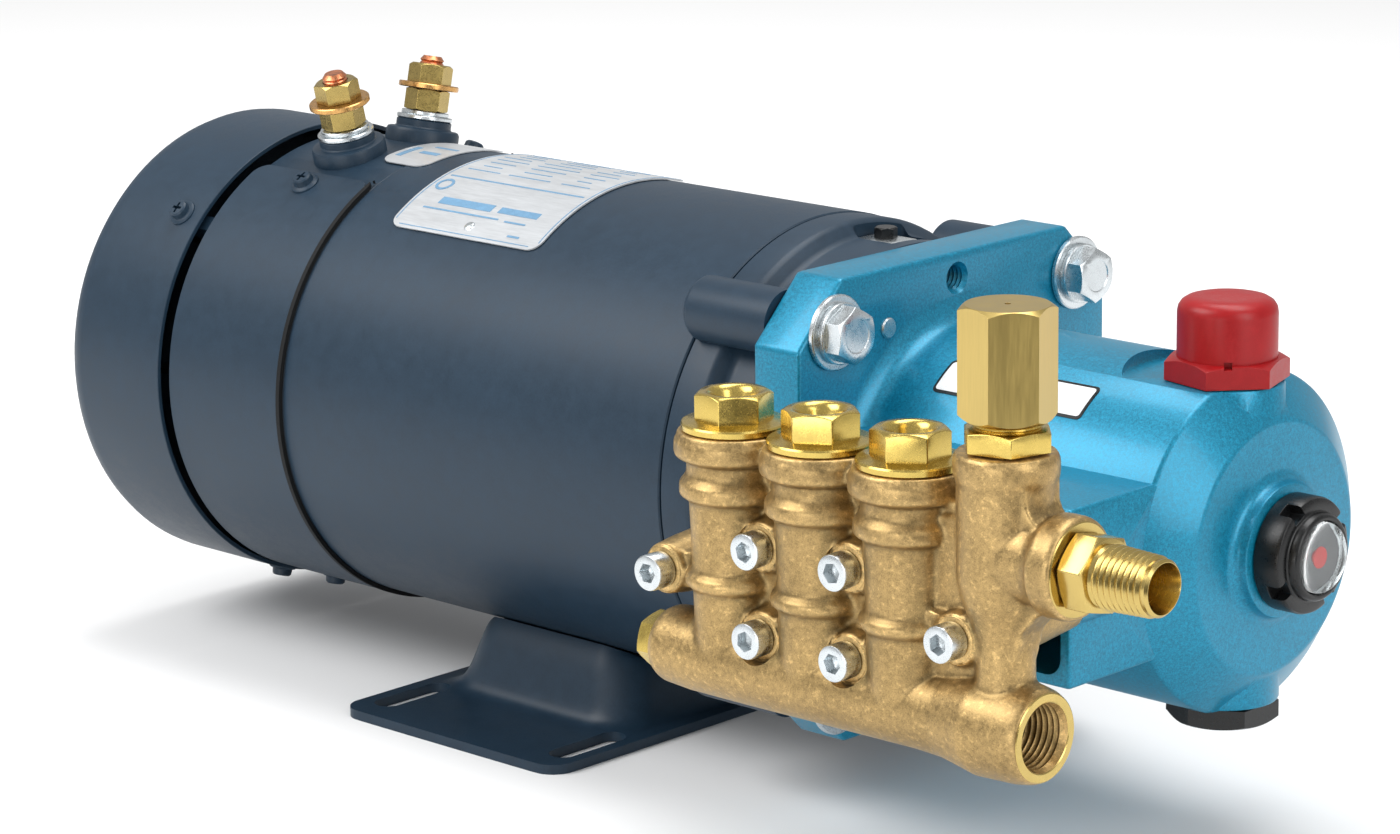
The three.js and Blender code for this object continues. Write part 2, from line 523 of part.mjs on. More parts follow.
function manifoldCasting() {
  const y = COLUMN_Y;
  const solids = [...COLUMN_X.map(columnBody), outletColumn(), inletGallery()];
  for (const x of COLUMN_X) solids.push(bar('y', 12.4, y, YOKE.rim - GAP, [x, 0, 0], 12));
  solids.push(block(2, 112, y - 5, y + 5, -20, 36));
  solids.push(block(-4, 88, YOKE.rim - 7, YOKE.rim - GAP, -12, SMALL));
  solids.push(block(0.3, 22, y - 5, -90, -5, 5));
  solids.push(block(82, 104, y - 4, -86, -4, 4));
  for (const [x, z] of SCREWS) {
    solids.push(bar('y', SCREW.rBoss, SCREW.face + SCREW.head + GAP, YOKE.rim - GAP, [x, 0, z], SMALL));
  }
  const tools = [];
  for (const x of COLUMN_X) {
    const at = [x, y, 0];
    tools.push(bar('z', 8.2, 24, 45, at, SMALL));
    tools.push(bar('z', 7, 11, 25, at, SMALL));
    tools.push(bar('z', 4, -24, 12, at, SMALL));
    tools.push(bar('z', 7, -15, 9, at, SMALL));
    tools.push(bar('y', 7, -109, YOKE.rim, [x, 0, 0], SMALL));
  }
  tools.push(bar('x', 3.6, COLUMN_X[0], OUTLET_X, [0, y, 19], SMALL));
  tools.push(bar('z', 5, 12, 43, [OUTLET_X, y, 0], SMALL));
  tools.push(bar('z', 7.7, 42, 52, [OUTLET_X, y, 0], MID));
  tools.push(bar('x', 5, OUTLET_X, 129, [0, y, OUTLET_Z], SMALL));
  tools.push(bar('x', 9.2, 127, 140, [0, y, OUTLET_Z], MID));
  tools.push(bar('x', 6, 10, 112, [0, y, GALLERY_Z], SMALL));
  tools.push(bar('x', 4.6, -8, 12, [0, y, GALLERY_Z], SMALL));
  tools.push(cone('x', 8.6, PORT.rBore, 110, 130, [0, y, GALLERY_Z], 12));
  for (const [x, z] of SCREWS) {
    tools.push(bar('y', 3.2, -125, -70, [x, 0, z], SMALL));
    tools.push(bar('y', SCREW.rHead + 0.6, -140, SCREW.face + SCREW.head + GAP, [x, 0, z], 12));
  }
  placed('manifold', cut(sum(solids), tools), FORGED());
}

function valvePlugs() {
  const p = PLUG;
  COLUMN_X.forEach((x, i) => {
    const at = [x, COLUMN_Y, 0];
    const flange = turn('z', [[p.from, 0], [p.from, p.rFlange], [p.to - 0.6, p.rFlange],
      [p.to, p.rFlange - 0.6], [p.to, 0]], at, 18);
    const hex = hexHead('z', p.across, p.to - 0.2, p.top, at, p.faces[i], 1.2);
    const shank = bar('z', p.rShank, p.end, p.from + 0.5, at, SMALL);
    const dish = cone('z', 4.6, 7, p.top - 5, p.top + 0.2, at, SMALL);
    const spring = bar('z', 5, p.end - 0.6, 34, at, SMALL);
    placed(`valve_plug_${i + 1}`, cut(sum([flange, hex, shank]), [dish, spring]), BRASS());
  });
}

function valvePoppets() {
  const steel = () => paint('stainless', 0xb9bec2, 0.3, 0.9);
  COLUMN_X.forEach((x, i) => {
    const at = [x, COLUMN_Y, 0];
    for (const [name, z] of [['suction', -14.7], ['discharge', 11.3]]) {
      const rows = [[z - 2.5, 0], [z - 2.5, 3], [z, 3], [z, 6], [z + 1.8, 6], [z + 1.8, 1.6],
        [z + 4.4, 1.6], [z + 4.4, 0]];
      placed(`${name}_valve_${i + 1}`, turn('z', rows, at, SMALL), steel());
    }
  });
}

function fittings() {
  const at = [OUTLET_X, COLUMN_Y, 0];
  const top = [OUTLET_X + 0.3, COLUMN_Y, 0];
  const nut = hexHead('z', 21, 50.2, 55.8, top, -16, 0.7);
  const shank = bar('z', 6.9, 43, 51, at, 20);
  const neck = bar('z', 8.6, 55, 57.4, top, 24);
  placed('outlet_adaptor', sum([nut, shank, neck]), BRASS());
  placed('outlet_cap_hex', hexHead('z', 22, 57.7, 87.2, top, -42.6, 1.6), BRASS());
  const n = NIPPLE;
  const c = [0, COLUMN_Y, OUTLET_Z];
  const hex = hexHead('x', n.across, n.hexFrom, n.hexTo, c, -13, 0.8);
  const pipe = turn('x', [[129.5, 0], [129.5, 8.2], [n.hexFrom + 1, 8.2], [n.hexFrom + 1, n.rRoot],
    [n.end - 1.2, n.rTip], [n.end, n.rTip - 0.5], [n.end, 0]], c, 16);
  const bore = bar('x', n.rBore, 120, 170, c, 10);
  const flare = cone('x', n.rBore, 6.6, n.end - 3, n.end + 0.2, c, 10);
  placed('outlet_nipple', cut(sum([hex, pipe]), [bore, flare]), BRASS());
  const g = [0, COLUMN_Y, GALLERY_Z];
  const head = hexHead('x', 13.6, -10.4, -4.8, g, 15, 0.6);
  const stub = bar('x', 4.3, -6, 6, g, SMALL);
  placed('inlet_plug', sum([head, stub]), BRASS());
}

function manifoldScrews() {
  SCREWS.forEach(([x, z], i) => {
    const s = SCREW;
    const at = [x, 0, z];
    const top = s.face;
    const body = turn('y', [[top, 0], [top, s.rHead - 0.5], [top + 0.5, s.rHead], [top + s.head, s.rHead],
      [top + s.head, s.rShank], [s.end, s.rShank], [s.end, 0]], at, 10);
    const socket = hexBar('y', 5, top - 1, top + 3, at, 10);
    placed(`manifold_screw_${i + 1}`, body.subtract(socket), ZINC());
  });
}

motorShell();
rearEndBell();
brushCoverBand();
rearHood();
driveEndBell();
motorFoot();
nameplate();
shaftAndArmature();
magnets();
brushes();
bearings();
coolingFan();
terminals();
crankcase();
gauge();
fillerAndDrain();
flangeBolts();
runningGear();
manifoldCasting();
valvePlugs();
valvePoppets();
fittings();
manifoldScrews();

export default group;
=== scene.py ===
"""Pressure washer pump: a direct-current motor bolted to a three-plunger pump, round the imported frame."""

import math

import bmesh
import bpy
from bpy.props import FloatProperty, FloatVectorProperty, IntProperty
from mathutils import Matrix, Vector


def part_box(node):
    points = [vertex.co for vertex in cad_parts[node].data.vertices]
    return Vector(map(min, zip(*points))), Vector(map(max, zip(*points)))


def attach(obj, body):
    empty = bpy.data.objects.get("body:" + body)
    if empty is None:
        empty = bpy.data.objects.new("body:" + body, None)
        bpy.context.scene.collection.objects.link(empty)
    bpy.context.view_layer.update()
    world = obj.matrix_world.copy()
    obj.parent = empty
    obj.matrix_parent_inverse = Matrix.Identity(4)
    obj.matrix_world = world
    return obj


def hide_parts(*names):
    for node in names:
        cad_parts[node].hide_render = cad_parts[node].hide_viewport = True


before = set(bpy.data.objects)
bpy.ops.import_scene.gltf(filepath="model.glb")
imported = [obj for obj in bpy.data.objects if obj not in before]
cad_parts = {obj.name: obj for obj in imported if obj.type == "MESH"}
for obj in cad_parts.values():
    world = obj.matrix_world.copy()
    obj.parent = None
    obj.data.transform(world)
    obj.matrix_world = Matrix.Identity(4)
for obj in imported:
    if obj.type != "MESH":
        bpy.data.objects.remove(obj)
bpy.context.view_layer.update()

bl_info = {
    "name": "Pressure washer pump",
    "version": (1, 0, 0),
    "blender": (4, 5, 0),
    "location": "3D View > Sidebar > Pump",
    "description": "Builds a motor-driven three-plunger pump, piece by piece, round its packed frame",
    "category": "Object",
}

# Shapes are written in millimetres about the crank axis: +X towards the oil sight gauge, +Z up,
# x = 0 at the front face of the pump flange. PLACE takes them to the frame, in metres.
# A profile is a list of (station along the axis, radius), and an outline is a list of flat points.
MM = 0.001
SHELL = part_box("motor_shell")
SHELL_REAR = -212.0
AXIS = Vector((SHELL[0].x - SHELL_REAR * MM, (SHELL[0].y + SHELL[1].y) / 2, (SHELL[0].z + SHELL[1].z) / 2))
PLACE = Matrix.Translation(AXIS) @ Matrix.Scale(MM, 4)
AIM = {
    "x": Matrix.Rotation(math.pi / 2, 4, "Y"),
    "y": Matrix.Rotation(-math.pi / 2, 4, "X"),
    "z": Matrix.Identity(4),
}
CENTRE = (0, 0, 0)

# Motor
FOOT_Z = -88.9                                   # underside of the foot
FOOT_X = -133.0                                  # middle of the foot
FOOT_SLOTS = [(x, y) for x in (-171.0, -94.5) for y in (-58.5, 58.5)]
BAND_X = (-265.0, -213.5)                        # rear and front edge of the brush cover band
TERMINAL_X = -240
TILT = {                                         # lean of each terminal about the motor axis
    side: Matrix.Rotation(math.radians(sign * 12.5), 4, "X") for side, sign in (("near", 1), ("far", -1))
}
VENT = {"x": (-38.0, -22.2), "y": (-2.5, 20)}    # opening on top of the drive bell

# Crankcase
BOLT_REACH = 52.75                               # from the axis to a flange bolt, along Y and along Z
BOLTS = {
    "upper_near": (0, -BOLT_REACH, BOLT_REACH), "upper_far": (0, BOLT_REACH, BOLT_REACH),
    "lower_near": (0, -BOLT_REACH, -BOLT_REACH), "lower_far": (0, BOLT_REACH, -BOLT_REACH),
}
DRUM_R = 48
YOKE_Y = -77                                     # face that the manifold is screwed to
FILLER = (96, 0, 0)                              # axis of the filler and drain bosses

# Manifold
COLUMNS = (20.5, 51.3, 82.2)                     # x of the three valve columns
COLUMN_Y = -115.0
SEAT_Y = -77.3                                   # back face of the manifold
OUTLET = (114.1, COLUMN_Y, 22.8)                 # where the outlet arm leaves its post
ARM = (0, COLUMN_Y, OUTLET[2])                   # axis of the outlet arm
GALLERY = (0, COLUMN_Y, -23.3)                   # axis of the inlet gallery
UPRIGHT = Matrix.Translation((0, COLUMN_Y, 0)) @ Matrix.Rotation(math.pi / 2, 4, "X")
SCREWS = ((0.3, -0.5), (35.9, 11.7), (35.9, -12.7), (66.8, 11.7), (66.8, -12.7), (102.8, -0.5))


# ---------- user settings ----------
class PumpSizes(bpy.types.PropertyGroup):
    shell_radius: FloatProperty(
        name="Motor radius",
        description="Outer radius of the motor's steel tube",
        default=(SHELL[1].z - SHELL[0].z) / 2,
        unit="LENGTH",
        subtype="DISTANCE",
    )
    turning_steps: IntProperty(
        name="Turning steps", description="Facets round a large turned piece", default=128, min=24
    )
    casting_grain: FloatProperty(
        name="Casting mesh",
        description="Spacing of the manifold casting's mesh",
        default=0.0008,
        unit="LENGTH",
        subtype="DISTANCE",
    )
    casting_softness: IntProperty(
        name="Casting softness", description="Smoothing passes over the casting's corners", default=3, min=0
    )
    thread_pitch: FloatProperty(
        name="Pipe thread pitch",
        description="Spacing of the pipe threads",
        default=0.0018,
        unit="LENGTH",
        subtype="DISTANCE",
    )
    sheet_thickness: FloatProperty(
        name="Foot sheet",
        description="Thickness of the pressed foot",
        default=0.003,
        unit="LENGTH",
        subtype="DISTANCE",
    )
    lens_length: FloatProperty(
        name="Camera lens", description="Focal length in millimetres", default=114.9, unit="CAMERA"
    )


def colour(name, description, value):
    return FloatVectorProperty(
        name=name, description=description, default=value, subtype="COLOR", size=3, min=0, max=1
    )


class PumpColours(bpy.types.PropertyGroup):
    slate: colour("Motor paint", "Satin slate paint of the motor", (0.0125, 0.0300, 0.0520))
    blue: colour("Pump paint", "Metallic paint of the crankcase", (0.003, 0.205, 0.340))
    forged: colour("Forged brass", "Manifold casting as it leaves the die", (0.385, 0.262, 0.108))
    bright: colour("Bright brass", "Polished plugs", (0.640, 0.470, 0.125))
    satin: colour("Satin brass", "Machined hexagon and nipple", (0.560, 0.415, 0.140))
    zinc: colour("Zinc", "Plated screws and washers", (0.640, 0.680, 0.700))
    steel: colour("Steel", "Bare steel inside", (0.300, 0.310, 0.320))
    copper: colour("Copper", "Terminal studs", (0.720, 0.270, 0.130))
    red: colour("Filler cap", "Red moulded cap", (0.300, 0.004, 0.006))
    black: colour("Black plastic", "Gauge ring, drain plug and seals", (0.010, 0.011, 0.012))
    plate: colour("Label metal", "Aluminium nameplate", (0.620, 0.640, 0.660))
    floor: colour("Floor", "Plain pale floor", (0.860, 0.860, 0.860))


# ---------- solids ----------
SEAM = 0.0005     # points of a turned shape closer than this are one, in millimetres


def solid(name, points, faces):
    mesh = bpy.data.meshes.new(name)
    mesh.from_pydata([tuple(p) for p in points], [], faces)
    piece = bpy.data.objects.new(name, mesh)
    bpy.context.scene.collection.objects.link(piece)
    return piece


def outward(piece):
    """Points every face of a closed solid outwards."""
    work = bmesh.new()
    work.from_mesh(piece.data)
    bmesh.ops.recalc_face_normals(work, faces=work.faces)
    work.to_mesh(piece.data)
    work.free()
    return piece


def baked(piece):
    """Applies the modifier stack."""
    graph = bpy.context.evaluated_depsgraph_get()
    graph.update()
    mesh = bpy.data.meshes.new_from_object(piece.evaluated_get(graph), depsgraph=graph)
    piece.modifiers.clear()
    old = piece.data
    piece.data = mesh
    bpy.data.meshes.remove(old)
    return piece


def drop(pieces):
    for piece in pieces:
        mesh = piece.data
        bpy.data.objects.remove(piece)
        bpy.data.meshes.remove(mesh)


def turned(rows, axis="z", centre=CENTRE, steps=96):
    """Lathe shape from a profile. A profile with an end off the axis closes on itself, as a ring."""
    ring = rows[0][1] > 0 or rows[-1][1] > 0
    points = [(r, 0, s) for s, r in rows]
    edges = [(i, i + 1) for i in range(len(rows) - 1)]
    if ring:
        edges.append((len(rows) - 1, 0))
    mesh = bpy.data.meshes.new("profile")
    mesh.from_pydata(points, edges, [])
    piece = bpy.data.objects.new("profile", mesh)
    bpy.context.scene.collection.objects.link(piece)
    lathe = piece.modifiers.new("lathe", "SCREW")
    lathe.steps = lathe.render_steps = steps
    lathe.use_merge_vertices = True
    lathe.merge_threshold = SEAM
    baked(piece)
    work = bmesh.new()
    work.from_mesh(piece.data)
    bmesh.ops.remove_doubles(work, verts=work.verts, dist=SEAM)
    bmesh.ops.recalc_face_normals(work, faces=work.faces)
    work.to_mesh(piece.data)
    work.free()
    piece.data.transform(Matrix.Translation(Vector(centre)) @ AIM[axis])
    return piece


def bar(r, lo, hi, axis="z", centre=CENTRE, steps=48, soft=0.0):
    """Round bar with softened ends."""
    if soft:
        rows = [(lo, 0), (lo, r - soft), (lo + soft * 0.3, r - soft * 0.3), (lo + soft, r), (hi - soft, r)]
        rows += [(hi - soft * 0.3, r - soft * 0.3), (hi, r - soft), (hi, 0)]
    else:
        rows = [(lo, 0), (lo, r), (hi, r), (hi, 0)]
    return turned(rows, axis, centre, steps)


def prism(outline, lo, hi, axis="z", centre=CENTRE):
    """Straight extrusion of a flat outline along an axis."""
    n = len(outline)
    points = [(x, y, lo) for x, y in outline] + [(x, y, hi) for x, y in outline]
    faces = [tuple(range(n - 1, -1, -1)), tuple(range(n, 2 * n))]
    faces += [(i, (i + 1) % n, n + (i + 1) % n, n + i) for i in range(n)]
    piece = outward(solid("prism", points, faces))
    piece.data.transform(Matrix.Translation(Vector(centre)) @ AIM[axis])
    return piece


def block(x, y, z):
    """Box between pairs of coordinates."""
    outline = [(x[0], y[0]), (x[1], y[0]), (x[1], y[1]), (x[0], y[1])]
    return prism(outline, z[0], z[1])


def rounded(half_w, half_h, r, steps=6):
    """Outline of a rectangle with round corners, about its middle."""
    points = []
    for k, (sx, sy) in enumerate(((1, 1), (-1, 1), (-1, -1), (1, -1))):
        for i in range(steps + 1):
            t = math.pi / 2 * (k + i / steps)
            points.append((sx * (half_w - r) + r * math.cos(t), sy * (half_h - r) + r * math.sin(t)))
    return points


def merged(pieces, name="merged"):
    """Joins helper solids into one mesh, overlaps and all."""
    work = bmesh.new()
    for piece in pieces:
        work.from_mesh(piece.data)
    mesh = bpy.data.meshes.new(name)
    work.to_mesh(mesh)
    work.free()
    joined = bpy.data.objects.new(name, mesh)
    bpy.context.scene.collection.objects.link(joined)
    drop(pieces)
    return joined


def combined(piece, tools, operation):
    """Boolean of a solid with a list of tools, which are then removed."""
    for tool in tools:
        step = piece.modifiers.new("join", "BOOLEAN")
        step.object = tool
        step.operation = operation
        step.solver = "MANIFOLD"
    baked(piece)
    drop(tools)
    return piece


def united(pieces):
    return combined(pieces[0], pieces[1:], "UNION")


def carved(piece, tools):
    return combined(piece, tools, "DIFFERENCE")


def softened(piece, width, segments=2, angle=35):
    """Rounds the sharp edges of a plain solid, in millimetres."""
    edge = piece.modifiers.new("edge", "BEVEL")
    edge.width = width
    edge.segments = segments
    edge.limit_method = "ANGLE"
    edge.angle_limit = math.radians(angle)
    return baked(piece)


def hexagon(across, lo, hi, axis="z", centre=CENTRE, flat=0.0, ends=(0.0, 1.2)):
    """Hexagon bar whose ends are cut by cones. Flat is the angle of one face, ends the cones' heights."""
    corner = across / math.sqrt(3)
    angles = [math.radians(flat + 30 + 60 * k) for k in range(6)]
    piece = prism([(corner * math.cos(t), corner * math.sin(t)) for t in angles], lo, hi, axis, centre)
    face, clear = across / 2 - 0.15, corner + 0.3
    first, last = ends
    rows = [(lo, 0), (lo, face), (lo + first, clear)] if first else [(lo - 1, 0), (lo - 1, clear)]
    rows += [(hi - last, clear), (hi, face), (hi, 0)] if last else [(hi + 1, clear), (hi + 1, 0)]
    return combined(piece, [turned(rows, axis, centre, 96)], "INTERSECT")


def ridges(lo, hi, r0, r1, pitch, depth):
    """Profile of a turned thread: flat crests from radius r0 to r1, with grooves of a given depth."""
    rows = []
    count = int((hi - lo) / pitch)
    for i in range(count):
        s = lo + i * pitch
        r = r0 + (r1 - r0) * i / count
        rows += [(s, r - depth), (s + pitch * 0.42, r), (s + pitch * 0.58, r)]     # groove, then crest
    rows.append((lo + count * pitch, r1 - depth))
    return rows


def wrapped(lo, hi, ends, radii, corner=0.0, step=2.5):
    """Curved sheet round the axis: x from lo to hi, angles in degrees from +Z towards -Y."""
    mean = sum(radii) / 2
    turn = math.degrees(corner / mean)
    straight = ends[1] - ends[0] - 2 * turn
    curved = 6 if corner else 0
    stations = []
    for i in range(curved):
        t = math.pi / 2 * i / curved
        stations.append((ends[0] + turn * (1 - math.cos(t)), corner * (1 - math.sin(t))))
    count = max(2, int(straight / step))
    for i in range(count + 1):
        stations.append((ends[0] + turn + straight * i / count, 0.0))
    stations += [(ends[0] + ends[1] - angle, inset) for angle, inset in reversed(stations[:curved])]
    points = []
    for angle, inset in stations:
        t = math.radians(angle)
        for r in radii:
            for x in (lo + inset, hi - inset):
                points.append((x, -r * math.sin(t), r * math.cos(t)))
    faces = [(0, 1, 3, 2)]
    for i in range(len(stations) - 1):
        a, b = 4 * i, 4 * i + 4
        faces += [(a, b, b + 1, a + 1), (a + 1, b + 1, b + 3, a + 3)]
        faces += [(a + 3, b + 3, b + 2, a + 2), (a + 2, b + 2, b, a)]
    last = 4 * (len(stations) - 1)
    faces.append((last, last + 2, last + 3, last + 1))
    return outward(solid("wrap", points, faces))


def moved(piece, matrix):
    piece.data.transform(matrix)
    return piece


def round_x(degrees, x=0.0, r=0.0):
    """Place at a distance r from the axis, turned about it from +Z towards -Y."""
    turn = Matrix.Rotation(math.radians(degrees), 4, "X")
    return Matrix.Translation((x, 0, 0)) @ turn @ Matrix.Translation((0, 0, r))


def done(piece, name, body, material, stands_for=(), edge=0.0, sharp=35):
    """Names a finished piece, puts it in the frame, and ties it to its body and material."""
    piece.name = piece.data.name = name
    piece.data.transform(PLACE)
    piece.data.materials.clear()
    piece.data.materials.append(material)
    piece.data.polygons.foreach_set("use_smooth", [True] * len(piece.data.polygons))
    piece.data.set_sharp_from_angle(angle=math.radians(sharp))
    if edge:
        rim = piece.modifiers.new("edge", "BEVEL")
        rim.width = edge * MM
        rim.segments = 2
        rim.limit_method = "ANGLE"
        rim.angle_limit = math.radians(sharp)
        rim.harden_normals = True
    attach(piece, body)
    if stands_for:
        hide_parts(*stands_for)
    return piece


# ---------- materials ----------
WHITE = (1, 1, 1)
MOTTLE_SPREAD = (0.75, 1.25)      # the sum of the two mottles mostly lies between these
DRAWN_ALONG_Z = (1, 1, 0.06)      # stretches of the grain
BRUSHED_ALONG_X = (0.08, 1, 1)
TURNED_ROUND_X = (1, 0.2, 0.2)
WOUND_ALONG_X = (0.2, 1, 1)


def node(tree, kind, inputs=None, **settings):
    made = tree.nodes.new(kind)
    for key, value in settings.items():
        setattr(made, key, value)
    for key, value in (inputs or {}).items():
        if isinstance(value, bpy.types.NodeSocket):
            tree.links.new(value, made.inputs[key])
        else:
            made.inputs[key].default_value = value
    return made


def grain(tree, size, detail=3.0, roughness=0.55, stretch=(1, 1, 1)):
    """Noise whose blotches are about `size` millimetres across."""
    where = node(tree, "ShaderNodeTexCoord").outputs["Object"]
    scaled = node(tree, "ShaderNodeMapping", {"Vector": where, "Scale": stretch}).outputs["Vector"]
    inputs = {"Vector": scaled, "Scale": 1 / (size * MM), "Detail": detail, "Roughness": roughness}
    return node(tree, "ShaderNodeTexNoise", inputs).outputs["Fac"]


def ramp(tree, value, stops):
    made = node(tree, "ShaderNodeValToRGB", {"Fac": value})
    elements = made.color_ramp.elements
    while len(elements) < len(stops):
        elements.new(0.5)
    for element, (position, shade) in zip(elements, stops):
        element.position = position
        element.color = (*shade, 1) if len(shade) == 3 else shade
    return made.outputs["Color"]


def span(tree, value, low, high, start=0.3, stop=0.7):
    inputs = {"Value": value, "From Min": start, "From Max": stop, "To Min": low, "To Max": high}
    return node(tree, "ShaderNodeMapRange", inputs).outputs["Result"]


def bumps(tree, layers):
    """Chain of bump layers, each (height, strength, depth in millimetres)."""
    normal = None
    for height, strength, depth in layers:
        inputs = {"Height": height, "Strength": strength, "Distance": depth * MM}
        if normal:
            inputs["Normal"] = normal
        normal = node(tree, "ShaderNodeBump", inputs).outputs["Normal"]
    return normal


def shaded(base, factor):
    return tuple(min(1.0, c * factor) for c in base)


def multiplied(tree, first, second):
    made = node(tree, "ShaderNodeMix", data_type="RGBA", blend_type="MULTIPLY")
    made.inputs["Factor"].default_value = 1.0
    tree.links.new(first, made.inputs["A"])
    tree.links.new(second, made.inputs["B"])
    return made.outputs["Result"]


def finish(
    name, tint, shade=1.0, contrast=(0.8, 1.2), blotch=3.0, fine=0.4, patch=20.0, patch_depth=0.08,
    rough=(0.35, 0.5), metallic=0.0, relief=(), coat=0.0, stretch=(1, 1, 1), edges=0.0, gloss=0.5,
    painted_glints=0.0, clear=0.0,
):
    """A surface with mottling, wide patches, uneven gloss, a painted highlight along its convex edges with
    painted shade in its creases, painted glints and layers of relief.

    Blotch, fine and patch are sizes in millimetres. A layer of relief is (size, strength, depth). A tint is
    the name of a user's colour or a colour of its own.
    """
    made = bpy.data.materials.new(name)
    made.use_nodes = True
    tree = made.node_tree
    surface = tree.nodes["Principled BSDF"]
    if isinstance(tint, str):
        tint = tuple(getattr(bpy.context.scene.pump_colours, tint))
    base = shaded(tint, shade)
    mottle = grain(tree, blotch, 4.0, 0.6, stretch)
    speck = grain(tree, fine, 2.0, 0.5, stretch)
    mixed = node(tree, "ShaderNodeMath", {0: mottle, 1: speck}, operation="ADD").outputs["Value"]
    shades = [(0.0, shaded(base, contrast[0])), (0.5, base), (1.0, shaded(base, contrast[1]))]
    body = ramp(tree, span(tree, mixed, 0, 1, *MOTTLE_SPREAD), shades)
    veil = ramp(tree, grain(tree, patch, 2.0), [(0.35, (1 - patch_depth,) * 3), (0.65, WHITE)])
    skin = multiplied(tree, body, veil)
    # Painted highlight along convex edges and painted shade in creases, both taken from pointiness.
    if edges:
        bend = node(tree, "ShaderNodeNewGeometry").outputs["Pointiness"]
        edge_highlight_and_crease_shade = [(0.44, (1 - edges,) * 3), (0.5, WHITE), (0.56, (1 + edges,) * 3)]
        skin = multiplied(tree, skin, ramp(tree, bend, edge_highlight_and_crease_shade))
    # Bright spots painted into the colour stand for glints.
    if painted_glints:
        spots = [(0.56, WHITE), (0.66, (1 + painted_glints,) * 3)]
        skin = multiplied(tree, skin, ramp(tree, grain(tree, 1.5, 3.0, 0.6), spots))
    tree.links.new(skin, surface.inputs["Base Color"])
    tree.links.new(span(tree, mixed, *rough, *MOTTLE_SPREAD), surface.inputs["Roughness"])
    surface.inputs["Specular IOR Level"].default_value = gloss
    surface.inputs["Metallic"].default_value = metallic
    surface.inputs["Coat Weight"].default_value = coat
    surface.inputs["Coat Roughness"].default_value = 0.12
    if clear:
        surface.inputs["Transmission Weight"].default_value = clear
        surface.inputs["IOR"].default_value = 1.22
    layers = [(grain(tree, size, 3.0, 0.55, stretch), strength, depth) for size, strength, depth in relief]
    tree.links.new(bumps(tree, layers), surface.inputs["Normal"])
    return made


